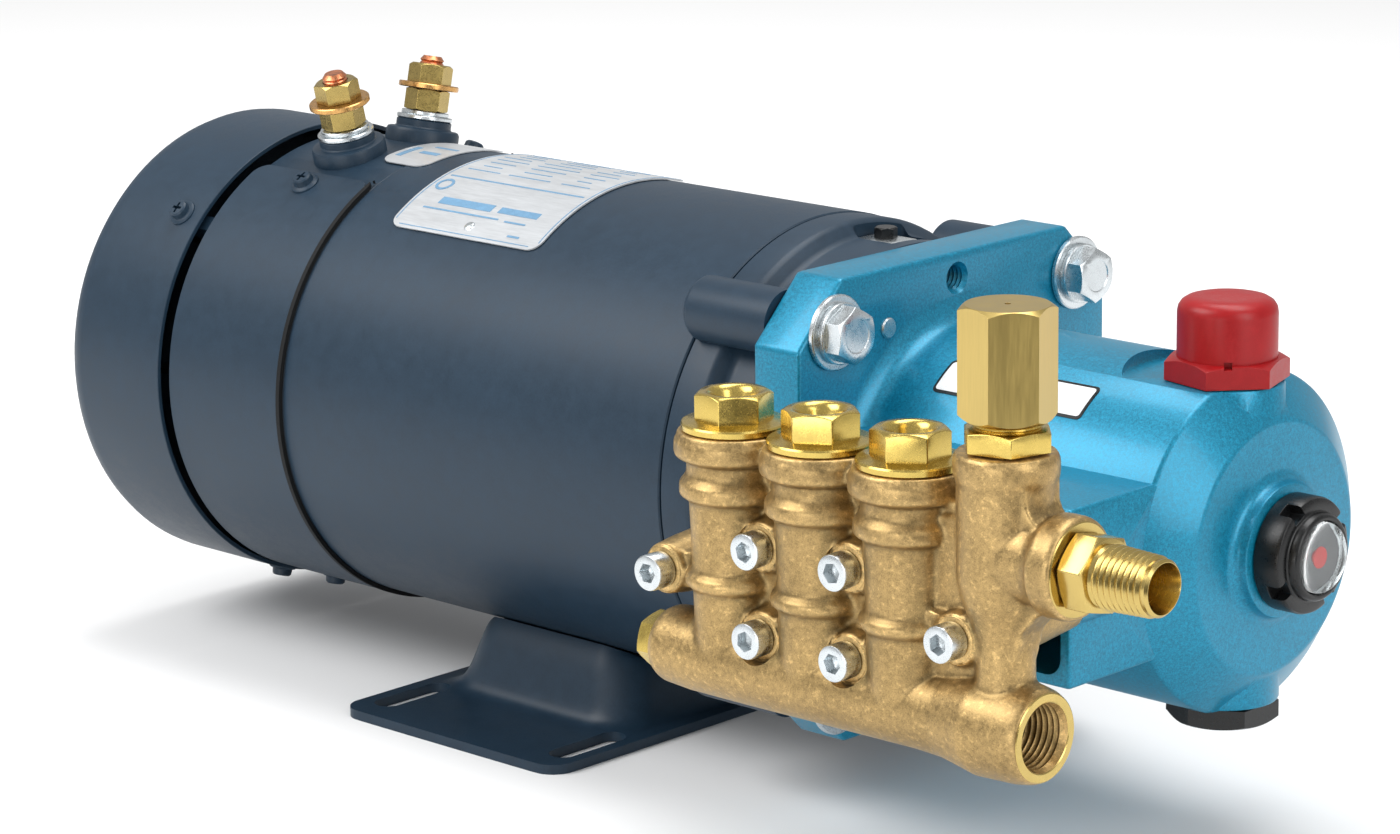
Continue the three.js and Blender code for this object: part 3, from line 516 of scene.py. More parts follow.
FINISHES = {
    "motor_paint": dict(
        name="slate_satin_paint", tint="slate", contrast=(0.88, 1.12), blotch=5.0, fine=0.6, patch=60.0,
        patch_depth=0.10, rough=(0.38, 0.46), relief=[(0.9, 0.08, 0.02), (6.0, 0.04, 0.05)], gloss=0.32,
    ),
    "pump_paint": dict(
        name="hammered_blue_paint", tint="blue", contrast=(0.74, 1.32), blotch=0.9, fine=0.35, patch=45.0,
        rough=(0.30, 0.42), metallic=0.40, relief=[(0.6, 0.20, 0.03), (2.6, 0.06, 0.05)], coat=0.14,
    ),
    # Forged brass carries a painted highlight on its edges, painted shade in its creases and painted glints.
    "forged_brass": dict(
        name="forged_brass", tint="forged", contrast=(0.72, 1.28), blotch=1.6, fine=0.35, patch=26.0,
        patch_depth=0.22, rough=(0.32, 0.50), metallic=0.86, edges=0.55, painted_glints=0.38,
        relief=[(0.40, 0.60, 0.06), (1.3, 0.45, 0.10), (5.0, 0.22, 0.20)],
    ),
    "bright_brass": dict(
        name="polished_brass", tint="bright", contrast=(0.92, 1.07), fine=0.5, patch=14.0,
        rough=(0.19, 0.30), metallic=1.0, relief=[(0.7, 0.10, 0.02), (3.0, 0.10, 0.06)],
    ),
    "satin_brass": dict(
        name="machined_brass", tint="satin", contrast=(0.96, 1.04), blotch=4.0, fine=0.5, patch_depth=0.05,
        rough=(0.30, 0.36), metallic=1.0, relief=[(0.6, 0.03, 0.01)], stretch=DRAWN_ALONG_Z,
    ),
    "turned_brass": dict(
        name="turned_brass", tint="satin", contrast=(0.95, 1.05), blotch=4.0, fine=0.5, patch_depth=0.05,
        rough=(0.22, 0.28), metallic=1.0, relief=[(3.0, 0.02, 0.01)], stretch=TURNED_ROUND_X,
    ),
    "nut_brass": dict(
        name="nut_brass", tint="satin", shade=0.82, contrast=(0.90, 1.10), blotch=2.0, fine=0.5, patch=8.0,
        patch_depth=0.10, rough=(0.24, 0.34), metallic=1.0, relief=[(0.8, 0.06, 0.02)],
    ),
    "washer_bronze": dict(
        name="washer_bronze", tint=(0.66, 0.37, 0.13), contrast=(0.8, 1.15), blotch=2.0, fine=0.5, patch=8.0,
        patch_depth=0.12, rough=(0.24, 0.36), metallic=1.0, relief=[(0.6, 0.12, 0.03)],
    ),
    "zinc": dict(
        name="zinc_plate", tint="zinc", contrast=(0.92, 1.06), blotch=2.5, patch=9.0,
        rough=(0.24, 0.34), metallic=1.0, relief=[(3.0, 0.04, 0.02)],
    ),
    "steel": dict(
        name="bare_steel", tint="steel", patch=15.0, patch_depth=0.12,
        rough=(0.28, 0.45), metallic=1.0, relief=[(0.4, 0.15, 0.03)],
    ),
    "copper": dict(
        name="copper", tint="copper", contrast=(0.7, 1.2), blotch=1.5, patch=6.0, patch_depth=0.2,
        rough=(0.25, 0.4), metallic=1.0, relief=[(0.4, 0.2, 0.03)],
    ),
    "red_plastic": dict(
        name="red_plastic", tint="red", contrast=(0.92, 1.10), patch=18.0, rough=(0.30, 0.42),
        relief=[(0.5, 0.10, 0.02), (5.0, 0.06, 0.05)], gloss=0.32,
    ),
    "black_plastic": dict(
        name="black_plastic", tint="black", shade=0.45, contrast=(0.7, 1.6), blotch=2.0, patch=14.0,
        patch_depth=0.15, rough=(0.26, 0.36), relief=[(0.4, 0.05, 0.01)], gloss=0.4,
    ),
    "rubber": dict(
        name="black_rubber", tint="black", shade=0.5, contrast=(0.6, 1.8), blotch=1.0, patch=10.0,
        patch_depth=0.15, rough=(0.6, 0.8), relief=[(0.5, 0.4, 0.08)], gloss=0.25,
    ),
    "nameplate": dict(
        name="label_metal", tint="plate", contrast=(0.93, 1.06), patch=25.0, patch_depth=0.06,
        rough=(0.30, 0.40), metallic=0.55, relief=[(0.3, 0.06, 0.01)], stretch=BRUSHED_ALONG_X,
    ),
    "print_blue": dict(
        name="pale_blue_print", tint=(0.13, 0.27, 0.42), contrast=(0.85, 1.1), blotch=2.0, fine=0.3,
        patch_depth=0.1, rough=(0.35, 0.45), relief=[(0.3, 0.05, 0.01)],
    ),
    "label_white": dict(
        name="label_white", tint=(0.78, 0.79, 0.80), contrast=(0.95, 1.04), patch_depth=0.05,
        rough=(0.25, 0.35), relief=[(0.6, 0.06, 0.01)], coat=0.15,
    ),
    "armature": dict(
        name="winding_and_core", tint=(0.16, 0.10, 0.06), contrast=(0.6, 1.4), blotch=2.0, patch=12.0,
        patch_depth=0.2, rough=(0.4, 0.6), metallic=0.6, relief=[(0.8, 0.3, 0.1)], stretch=WOUND_ALONG_X,
    ),
    "ferrite": dict(
        name="ferrite", tint=(0.025, 0.025, 0.027), contrast=(0.7, 1.5), blotch=2.0, patch=15.0,
        patch_depth=0.2, rough=(0.55, 0.75), metallic=0.1, relief=[(0.6, 0.3, 0.05)],
    ),
    "ceramic": dict(
        name="ceramic", tint=(0.80, 0.78, 0.72), contrast=(0.96, 1.03), fine=0.5, patch=12.0,
        patch_depth=0.05, rough=(0.12, 0.2), relief=[(0.5, 0.04, 0.01)], coat=0.3,
    ),
    "gauge_disc": dict(
        name="gauge_disc", tint=(0.10, 0.104, 0.11), contrast=(0.92, 1.08), blotch=2.0, fine=0.3, patch=8.0,
        patch_depth=0.05, rough=(0.5, 0.6), relief=[(0.3, 0.05, 0.01)], gloss=0.1,
    ),
    "dot_red": dict(
        name="dot_red", tint=(0.60, 0.012, 0.008), contrast=(0.9, 1.1), blotch=1.0, fine=0.3, patch=5.0,
        patch_depth=0.05, rough=(0.5, 0.6), relief=[(0.3, 0.05, 0.01)], gloss=0.1,
    ),
    "lens": dict(
        name="clear_lens", tint=(0.93, 0.95, 0.95), contrast=(0.98, 1.01), fine=0.5, patch=9.0,
        patch_depth=0.02, rough=(0.02, 0.05), relief=[(2.0, 0.03, 0.01)], clear=0.95,
    ),
}
MATERIALS = {}


def material(key):
    """Makes each of the object's finishes once."""
    if key not in MATERIALS:
        MATERIALS[key] = finish(**FINISHES[key])
    return MATERIALS[key]


# ---------- operators ----------
class PumpStep:
    """What every building step shares."""

    bl_options = {"REGISTER", "UNDO"}

    def execute(self, context):
        self.build(context.scene.pump_sizes)
        return {"FINISHED"}


class PUMP_OT_motor_tube(PumpStep, bpy.types.Operator):
    """Steel tube of the motor with rounded ends"""

    bl_idname = "pump.motor_tube"
    bl_label = "Motor tube"

    def build(self, sizes):
        r = sizes.shell_radius / MM
        rows = [(-50.3, 65.4), (-50.3, r - 0.4), (-50.7, r), (-211.6, r), (-212, r - 0.4), (-212, 65.4)]
        tube = turned(rows, "x", steps=sizes.turning_steps)
        done(tube, "motor_tube", "housing", material("motor_paint"), ["motor_shell"])


class PUMP_OT_rear_end(PumpStep, bpy.types.Operator):
    """Brush end bell, its cover band with seal and screws, and the fan hood"""

    bl_idname = "pump.rear_end"
    bl_label = "Rear end"

    def build(self, sizes):
        self.bell(sizes.turning_steps)
        self.cover()
        self.hood(sizes.turning_steps)
        self.screws()

    def bell(self, steps):
        rows = [
            (-212.3, 66), (-212.3, 71.2), (-212.6, 71.5), (-263.4, 71.5), (-265.2, 70.4), (-266, 68.5),
            (-266, 0), (-261, 0), (-261, 66), (-212.3, 66),
        ]
        parts = [turned(rows, "x", steps=steps), bar(25, -261.5, -247, "x")]
        parts += [wrapped(-283, -265, (a - 2, a + 2), (64, 70.6), step=2) for a in (46, 166, 226, 286)]
        parts += [block((-238, -218), sorted((s * 32, s * 68)), (-7, 7)) for s in (-1, 1)]
        tools = [block((-236.3, -219.7), sorted((s * 30, s * 75)), (-5.3, 5.3)) for s in (-1, 1)]
        tools += [bar(20.2, -259.4, -240, "x"), bar(10, -270, -240, "x")]
        tools += [moved(bar(6, 55, 80, centre=(TERMINAL_X, 0, 0)), tilt) for tilt in TILT.values()]
        bell = carved(united(parts), tools)
        done(bell, "brush_end_bell", "housing", material("motor_paint"), ["rear_end_bell"])

    def cover(self):
        rear, front = BAND_X
        band = wrapped(rear, front, (25, 335), (71.8, 73.0), corner=5)
        done(band, "brush_band", "housing", material("motor_paint"), ["brush_cover_band"],
             edge=0.25)
        seal = wrapped(-217.0, -212.1, (24.3, 335.7), (71.85, 73.25), corner=4.4)
        groove = wrapped(rear - 0.1, front - 0.2, (20, 340), (71.0, 73.3))
        done(carved(seal, [groove]), "band_seal", "housing", material("rubber"), edge=0.2)

    def hood(self, steps):
        rows = [
            (-317.2, 0), (-317.2, 64.5), (-316.9, 67.0), (-315.9, 69.5), (-314.3, 71.6), (-312.2, 73.2),
            (-309.6, 74.15), (-307.2, 74.4), (-269.2, 74.4), (-269, 74.2), (-269, 73.1), (-269.2, 72.9),
            (-308, 72.9), (-311.5, 71.8), (-314.3, 69), (-315.7, 64.5), (-315.7, 0),
        ]
        done(turned(rows, "x", steps=steps), "fan_hood", "housing", material("motor_paint"),
             ["rear_hood"])

    def screws(self):
        spots = (
            (-238.5, 29.8, 73), (-238.5, -29.8, 73), (-278.3, 46, 74.4), (-276.5, 165.5, 74.4),
            (-278.3, 286, 74.4), (-254, 168, 73), (-254, 192, 73),
        )
        rows = [(-1, 0), (-1, 4.6), (0.35, 4.6), (0.8, 4.1), (1.0, 3.3), (2.7, 3.1), (3.2, 2.6), (3.3, 0)]
        arm, slit, depth = (-1.9, 1.9), (-0.45, 0.45), (1.8, 4)
        screws = []
        for x, angle, r in spots:
            cross = united([block(arm, slit, depth), block(slit, arm, depth)])
            screws.append(moved(carved(turned(rows, steps=32), [cross]), round_x(angle, x, r)))
        done(merged(screws), "cover_screws", "housing", material("motor_paint"), edge=0.12)


class PUMP_OT_drive_end(PumpStep, bpy.types.Operator):
    """Bell between the motor and the pump flange, with its four lugs and the top vent"""

    bl_idname = "pump.drive_end"
    bl_label = "Drive end bell"

    def build(self, sizes):
        steps = sizes.turning_steps
        rows = [
            (-50, 64), (-50, 71.1), (-49.6, 71.5), (-40.4, 71.5), (-39.2, 71.2), (-38.2, 70.4),
            (-36.6, 68.2), (-35.6, 67.3), (-34.4, 67), (-17.9, 67), (-17.5, 66.6), (-17.5, 57.2),
            (-14.1, 57.2), (-14.1, 12), (-29.6, 12), (-29.6, 20.2), (-42.4, 20.2), (-42.4, 27),
            (-22, 27), (-22, 64),
        ]
        lug = [(-49.5, 0), (-49.5, 7.9), (-49.1, 8.9), (-48.2, 9.5), (-47.4, 9.6), (-17.5, 9.6), (-17.5, 0)]
        cup = [(-49.9, 27.1), (-22.1, 27.1), (-22.1, 63.9), (-49.9, 63.9)]
        bell = united([turned(rows, "x", steps=steps)] + [turned(lug, "x", c, 48) for c in BOLTS.values()])
        tools = [bar(5.1, -44, -12, "x", c) for c in BOLTS.values()]
        tools += [turned(cup, "x", steps=steps), softened(block(VENT["x"], VENT["y"], (48, 75)), 1.0, 3)]
        done(carved(bell, tools), "drive_bell", "housing", material("motor_paint"),
             ["drive_end_bell"])
        head = hexagon(6, 60, 69.8, "z", (-31, 4.6, 0), 20, (0, 0.7))
        done(head, "vent_bolts", "housing", material("black_plastic"), edge=0.2)
        pad = softened(block((-37.5, -22.5), (-2.2, 9), (59, 66.6)), 0.6, 2)
        done(pad, "vent_pad", "housing", material("zinc"))


class PUMP_OT_foot(PumpStep, bpy.types.Operator):
    """Pressed sheet foot with a saddle under the tube and four slots"""

    bl_idname = "pump.foot"
    bl_label = "Motor foot"

    def build(self, sizes):
        sheet = sizes.sheet_thickness / MM
        top = FOOT_Z + sheet
        saddle_r = 72.4
        levels = [      # half length, half width, corner and height, from the rim up to the saddle
            (47.0, 81.0, 8.0, top), (46.4, 80.4, 7.6, top), (43.0, 60.0, 12.0, top), (41.6, 50.0, 14.0, top),
            (40.4, 46.6, 15.0, top + 0.5), (39.0, 44.6, 15.0, top + 2.2), (37.6, 43.2, 15.0, top + 5.2),
            (36.0, 41.6, 14.5, top + 10.0), (34.4, 39.6, 14.0, -70.0), (33.2, 37.2, 13.0, -66.0),
            (32.4, 35.4, 12.0, None),
        ]
        arc = 8
        per = 4 * (arc + 1)
        points, faces = [], []
        for half_x, half_y, corner, z in levels:
            for x, y in rounded(half_x, half_y, corner, arc):
                seat = -math.sqrt(saddle_r ** 2 - min(abs(y), 60.0) ** 2)
                points.append((FOOT_X + x, y, seat if z is None else min(z, seat)))
        for k in range(len(levels) - 1):
            for i in range(per):
                j = (i + 1) % per
                faces.append((k * per + i, k * per + j, (k + 1) * per + j, (k + 1) * per + i))
        foot = solid("foot", points, faces)
        curve = foot.modifiers.new("curve", "SUBSURF")
        curve.levels = curve.render_levels = 1
        wall = foot.modifiers.new("wall", "SOLIDIFY")
        wall.thickness = sheet
        wall.offset = -1
        wall.use_even_offset = True
        outward(baked(foot))
        slot = rounded(4.35, 14.5, 4.34, 10)
        foot = carved(foot, [prism([(x + u, y + v) for u, v in slot], -92, -80) for x, y in FOOT_SLOTS])
        done(foot, "pressed_foot", "housing", material("motor_paint"), ["motor_foot"],
             edge=0.5, sharp=50)


class PUMP_OT_nameplate(PumpStep, bpy.types.Operator):
    """Blank ruled nameplate, its border, rivet and a second small label"""

    bl_idname = "pump.nameplate"
    bl_label = "Nameplate"

    def build(self, sizes):
        metal = material("nameplate")
        plate = wrapped(-191.5, -127, (-18, 37.5), (72.05, 72.5), corner=4.5)
        done(plate, "name_plate", "housing", metal, ["nameplate"])
        small = wrapped(-224.3, -203.8, (-16, 14.2), (71.95, 72.3), corner=5)
        done(small, "small_label", "housing", metal)
        bars = [wrapped(*mark, (72.5, 72.6)) for mark in self.plate_bars()]
        small_bars = ((-222, -219.6, (2, 10)), (-216, -208, (4.5, 6.3)), (-217, -207, (-1, 0)))
        bars += [wrapped(*mark, (72.3, 72.4)) for mark in small_bars]
        done(merged(bars), "plate_rules", "housing", material("print_blue"))
        rivet = turned([(0, 0), (0, 1.9), (0.55, 1.6), (0.8, 0.9), (0.85, 0)], steps=24)
        ring = turned([(0, 2.3), (0, 3.2), (0.3, 3.2), (0.3, 2.3)], steps=32)
        done(moved(rivet, round_x(33.6, -159.4, 72.3)), "plate_rivet", "housing",
             material("zinc"))
        done(moved(ring, round_x(20.3, -185.7, 72.35)), "plate_ring", "housing",
             material("print_blue"))

    def plate_bars(self):
        """Printed bars of the nameplate as (rear, front, angles)."""
        border = [
            (-190.6, -190.3, (-17, 35.0)), (-128.2, -127.9, (-17, 35.0)), (-187.5, -131.0, (36.4, 36.6)),
            (-188.5, -130.5, (15.6, 16.1)), (-188.5, -130.5, (-16.5, -16.1)),
        ]
        small_print = []
        for row in range(9):
            angle = -14.0 + row * 3.1
            for rear, front in ((-187, -172), (-169, -150), (-146, -133)):
                small_print.append((rear + (row * 5) % 4, front - (row * 7) % 5, (angle, angle + 0.35)))
        headings = [
            (-180, -157, (25.2, 27.8)), (-154, -137, (25.4, 27.6)), (-184, -151, (29.6, 30.1)),
            (-148, -139, (29.9, 30.4)), (-142, -137, (34.2, 34.8)),
        ]
        return border + small_print + headings


class PUMP_OT_terminals(PumpStep, bpy.types.Operator):
    """Two insulated studs with their washers and nuts"""

    bl_idname = "pump.terminals"
    bl_label = "Terminals"

    def build(self, sizes):
        insulator = [
            (69.4, 4.1), (69.4, 11.3), (70.0, 11.85), (74.3, 11.85), (75.2, 11.4), (75.5, 10.6), (75.6, 9.2),
            (76.0, 8.9), (77.9, 8.9), (78.3, 8.4), (78.3, 4.1),
        ]
        stud = [(63, 0), (63, 3.8), (89.8, 3.8)] + ridges(89.9, 98.4, 3.85, 3.85, 1.2, 0.45)
        stud += [(99, 2.9), (99, 0)]
        zinc = [
            (78.35, 4.1), (78.35, 8.7), (78.6, 9.0), (79.4, 9.0), (79.7, 8.7), (79.75, 7.5), (80.0, 7.7),
            (80.9, 7.7), (81.15, 7.4), (81.15, 4.1),
        ]
        bronze = [(88.3, 4.1), (88.3, 9.4), (88.6, 9.7), (89.8, 9.7), (90.1, 9.4), (90.1, 4.1)]
        for side, tilt in TILT.items():
            self.ring(insulator, 72, tilt, f"insulator_{side}", "black_plastic", "motor_paint",
                      [f"terminal_insulator_{side}"])
            self.ring(stud, 40, tilt, f"stud_{side}", "copper", "copper", [f"terminal_stud_{side}"])
            self.ring(zinc, 56, tilt, f"terminal_washers_{side}", "zinc", "zinc")
            self.nut((81.2, 88.25), (0.5, 0.5), tilt, f"lower_nut_{side}", f"terminal_lower_nut_{side}")
            self.ring(bronze, 56, tilt, f"brass_washer_{side}", "bright_brass", "washer_bronze")
            self.nut((90.15, 96.4), (0, 1.1), tilt, f"upper_nut_{side}", f"terminal_upper_nut_{side}")

    def ring(self, rows, steps, tilt, name, slot, look, stands_for=()):
        piece = moved(turned(rows, "z", (TERMINAL_X, 0, 0), steps), tilt)
        done(piece, name, "housing", material(look), stands_for)

    def nut(self, heights, ends, tilt, name, stands_for):
        at = (TERMINAL_X, 0, 0)
        piece = carved(hexagon(12.4, *heights, "z", at, 20, ends), [bar(4.05, 60, 110, "z", at)])
        done(moved(piece, tilt), name, "housing", material("nut_brass"), [stands_for],
             edge=0.3)


class PUMP_OT_crankcase(PumpStep, bpy.types.Operator):
    """Cast crankcase: flange, drum, plunger yoke, filler and drain bosses"""

    bl_idname = "pump.crankcase"
    bl_label = "Crankcase"

    def build(self, sizes):
        steps = sizes.turning_steps
        body = united([self.drum(steps), self.flange(), self.yoke(steps)] + self.pillars())
        pocket = [(44.6, 0), (44.6, 27.6), (44.9, 28.3), (45.6, 28.6), (70, 28.6), (70, 0)]
        body = carved(body, [turned(pocket, "z", FILLER, steps), bar(19.5, -70, -45.2, "z", FILLER, steps)])
        filler = [(20, 0), (20, 15.9), (43.8, 15.9), (44.4, 15.6), (44.6, 15.0), (44.6, 0)]
        drain = [(-20, 0), (-20, 15.5), (-44.4, 15.5), (-45.0, 15.2), (-45.2, 14.6), (-45.2, 0)]
        body = united([body] + [turned(rows, "z", FILLER, 72) for rows in (filler, drain)])
        body = carved(body, self.bores(steps))
        done(body, "crankcase_casting", "housing", material("pump_paint"), ["crankcase"],
             sharp=40)
        pin = turned([(-3, 0), (-3, 3.0), (0.4, 3.0), (0.8, 2.6), (0.9, 0)], "x", (0, -30, 50), 32)
        done(pin, "flange_pin", "housing", material("zinc"))
        rim = wrapped(18.4, 71.2, (28.4, 43.0), (DRUM_R + 0.05, DRUM_R + 0.2), corner=1.6)
        face = wrapped(19.3, 70.3, (29.5, 41.9), (DRUM_R + 0.15, DRUM_R + 0.3), corner=1.0)
        done(rim, "label_border", "housing", material("black_plastic"))
        done(face, "label_blank", "housing", material("label_white"))

    def flange(self):
        half, cut = 67.2, 49.2
        outline = [(-half, -cut), (-cut, -half), (cut, -half), (half, -cut)]
        outline += [(half, cut), (cut, half), (-cut, half), (-half, cut)]
        return softened(prism(outline, -17.2, 0, "x"), 1.3, 3)

    def drum(self, steps):
        rows = [
            (-1, 0), (-1, 54.4), (0, 54.4), (0.5, 53.2), (1.5, 51.2), (3.2, 49.2), (5.2, 48.2),
            (7.5, DRUM_R), (102.6, DRUM_R), (103.4, 47.7), (104.1, 46.9), (112.4, 35.9), (112.9, 35.1),
            (113, 34.2), (113, 22.2), (113.2, 20.8), (113.9, 19.6), (115.2, 18.8), (116.6, 18.7),
            (117.1, 18.5), (117.3, 18), (117.3, 0),
        ]
        return turned(rows, "x", steps=steps)

    def yoke(self, steps):
        """Open frame between the drum and the manifold."""
        walls = softened(block((-1, 104), (YOKE_Y, -20), (-24.4, 24.4)), 1.2, 3)
        opening = prism(rounded(49.0, 21.4, 5.0, 6), 30, 90, "z")
        place = Matrix.Translation((52, 0, 0)) @ Matrix.Rotation(math.pi / 2, 4, "X")
        opening = combined(moved(opening, place), [bar(DRUM_R, -2, 110, "x", steps=steps)], "DIFFERENCE")
        return carved(walls, [opening])

    def pillars(self):
        """Round posts inside the yoke, one behind each manifold screw."""
        inner = [bar(6, YOKE_Y, -43, "y", (x, 0, z), 32) for x, z in SCREWS[1:5]]
        return inner + [bar(6.4, YOKE_Y, -58, "y", (x, 0, z), 32) for x, z in (SCREWS[0], SCREWS[5])]

    def bores(self, steps):
        rear = -18.2
        tools = [
            bar(41, 4, 105, "x", steps=steps), bar(57.5, rear, -13.2, "x", steps=steps),
            bar(13, rear, 5, "x"), bar(10.6, 100, 119, "x"),
            bar(9.6, 30, 80, "z", FILLER), bar(7.6, -80, -30, "z", FILLER),
        ]
        thread = [(s, r + 0.55) for s, r in ridges(-17.8, -0.6, 3.6, 3.6, 1.5, 0.55)]
        lifting = [(rear, 0), (rear, 3.6)] + thread + [(-0.5, 4.4), (0.4, 5.0), (0.4, 0)]
        tools.append(turned(lifting, "x", (0, 0, 59.5), 40))
        tools += [bar(5.1, rear, 2, "x", c) for c in BOLTS.values()]
        tools += [bar(8.3, -60, -30, "y", (x, 0, 0)) for x in COLUMNS]
        return tools + [bar(3.2, -78, -64, "y", (x, 0, z), 24) for x, z in SCREWS]


class PUMP_OT_flange_bolts(PumpStep, bpy.types.Operator):
    """Four hexagon bolts with flat and spring washers"""

    bl_idname = "pump.flange_bolts"
    bl_label = "Flange bolts"

    def build(self, sizes):
        shank = [
            (-40, 0), (-40, 4.6), (0.1, 4.6), (0.1, 10.3), (0.5, 10.8), (1.5, 10.8), (1.9, 10.4),
            (1.95, 8.5), (2.2, 8.8), (3.4, 8.8), (3.7, 8.5), (3.7, 0),
        ]
        dish = [(8.75, 0), (8.75, 4.6), (9.1, 5.0), (9.1, 0)]
        for name, c in BOLTS.items():
            washers = turned(shank, "x", c, 64)
            head = carved(hexagon(14.3, 3.6, 9, "x", c, 30, (0, 1.0)), [turned(dish, "x", c, 48)])
            done(united([washers, head]), f"bolt_{name}", "housing", material("zinc"),
                 [f"flange_bolt_{name}"], edge=0.25)


class PUMP_OT_gauge(PumpStep, bpy.types.Operator):
    """Oil sight gauge: notched ring, clear dome, grey disc and red dot"""

    bl_idname = "pump.gauge"
    bl_label = "Oil sight gauge"

    def build(self, sizes):
        rows = [
            (117.4, 10.2), (117.4, 15.6), (117.9, 16.2), (124.6, 16.2), (125.6, 15.8), (126, 15.0),
            (126, 12.6), (126.3, 12.2), (128.2, 12.0), (128.8, 11.5), (129, 10.9), (128.8, 10.2),
        ]
        quarters = (30, 120, 210, 300)
        notches = [moved(block((121.5, 127), (-2.3, 2.3), (12.9, 18)), round_x(angle)) for angle in quarters]
        ring = carved(turned(rows, "x", steps=96), notches)
        done(ring, "gauge_ring", "housing", material("black_plastic"), ["sight_gauge_ring"],
             edge=0.35)
        dome = [(126.6, 0), (126.6, 9.8), (128.6, 9.8), (129.9, 9.4), (130.6, 8.6), (130.95, 7.2), (131, 0)]
        lens = turned(dome, "x", steps=64)
        done(lens, "gauge_lens", "housing", material("lens"), ["sight_gauge_lens"])
        face = 126.4
        disc = [(108, 0), (108, 9.4), (face - 0.2, 9.4), (face, 9.2), (face, 0)]
        rim = [(face, 8.1), (face, 9.7), (face + 0.18, 9.7), (face + 0.18, 8.1)]
        dot = [(face, 0), (face, 2.9), (face + 0.17, 2.9), (face + 0.17, 0)]
        for name, rows, steps, look in (
            ("disc", disc, 64, "gauge_disc"), ("rim", rim, 64, "zinc"), ("dot", dot, 40, "dot_red")
        ):
            done(turned(rows, "x", steps=steps), f"gauge_{name}", "housing", material(look))


class PUMP_OT_caps(PumpStep, bpy.types.Operator):
    """Red oil filler cap and black drain plug"""

    bl_idname = "pump.caps"
    bl_label = "Filler cap and drain plug"

    def build(self, sizes):
        base = hexagon(30, 44.9, 51.2, "z", FILLER, -42, (0, 1.6))
        rows = [
            (45.6, 0), (45.6, 13.75), (63.4, 13.75), (65.0, 13.45), (66.3, 12.6), (67.2, 11.2), (67.6, 9.6),
            (67.5, 6.0), (67.3, 0),
        ]
        cap = united([base, turned(rows, "z", FILLER, 96), bar(9.2, 36, 46, "z", FILLER)])
        turn = Matrix.Translation(FILLER) @ Matrix.Rotation(math.radians(-52), 4, "Z")
        cap = carved(cap, [moved(block((12.4, 16), (-1.1, 1.1), (50.3, 52.2)), turn)])
        done(cap, "filler_cap_red", "filler_cap", material("red_plastic"), ["oil_filler_cap"],
             edge=0.4)
        head = hexagon(27, -51.2, -45.5, "z", FILLER, -60, (1.2, 0))
        plug = united([head, bar(7.2, -46, -40, "z", FILLER)])
        done(plug, "drain_plug_black", "housing", material("black_plastic"),
             ["oil_drain_plug"], edge=0.4)


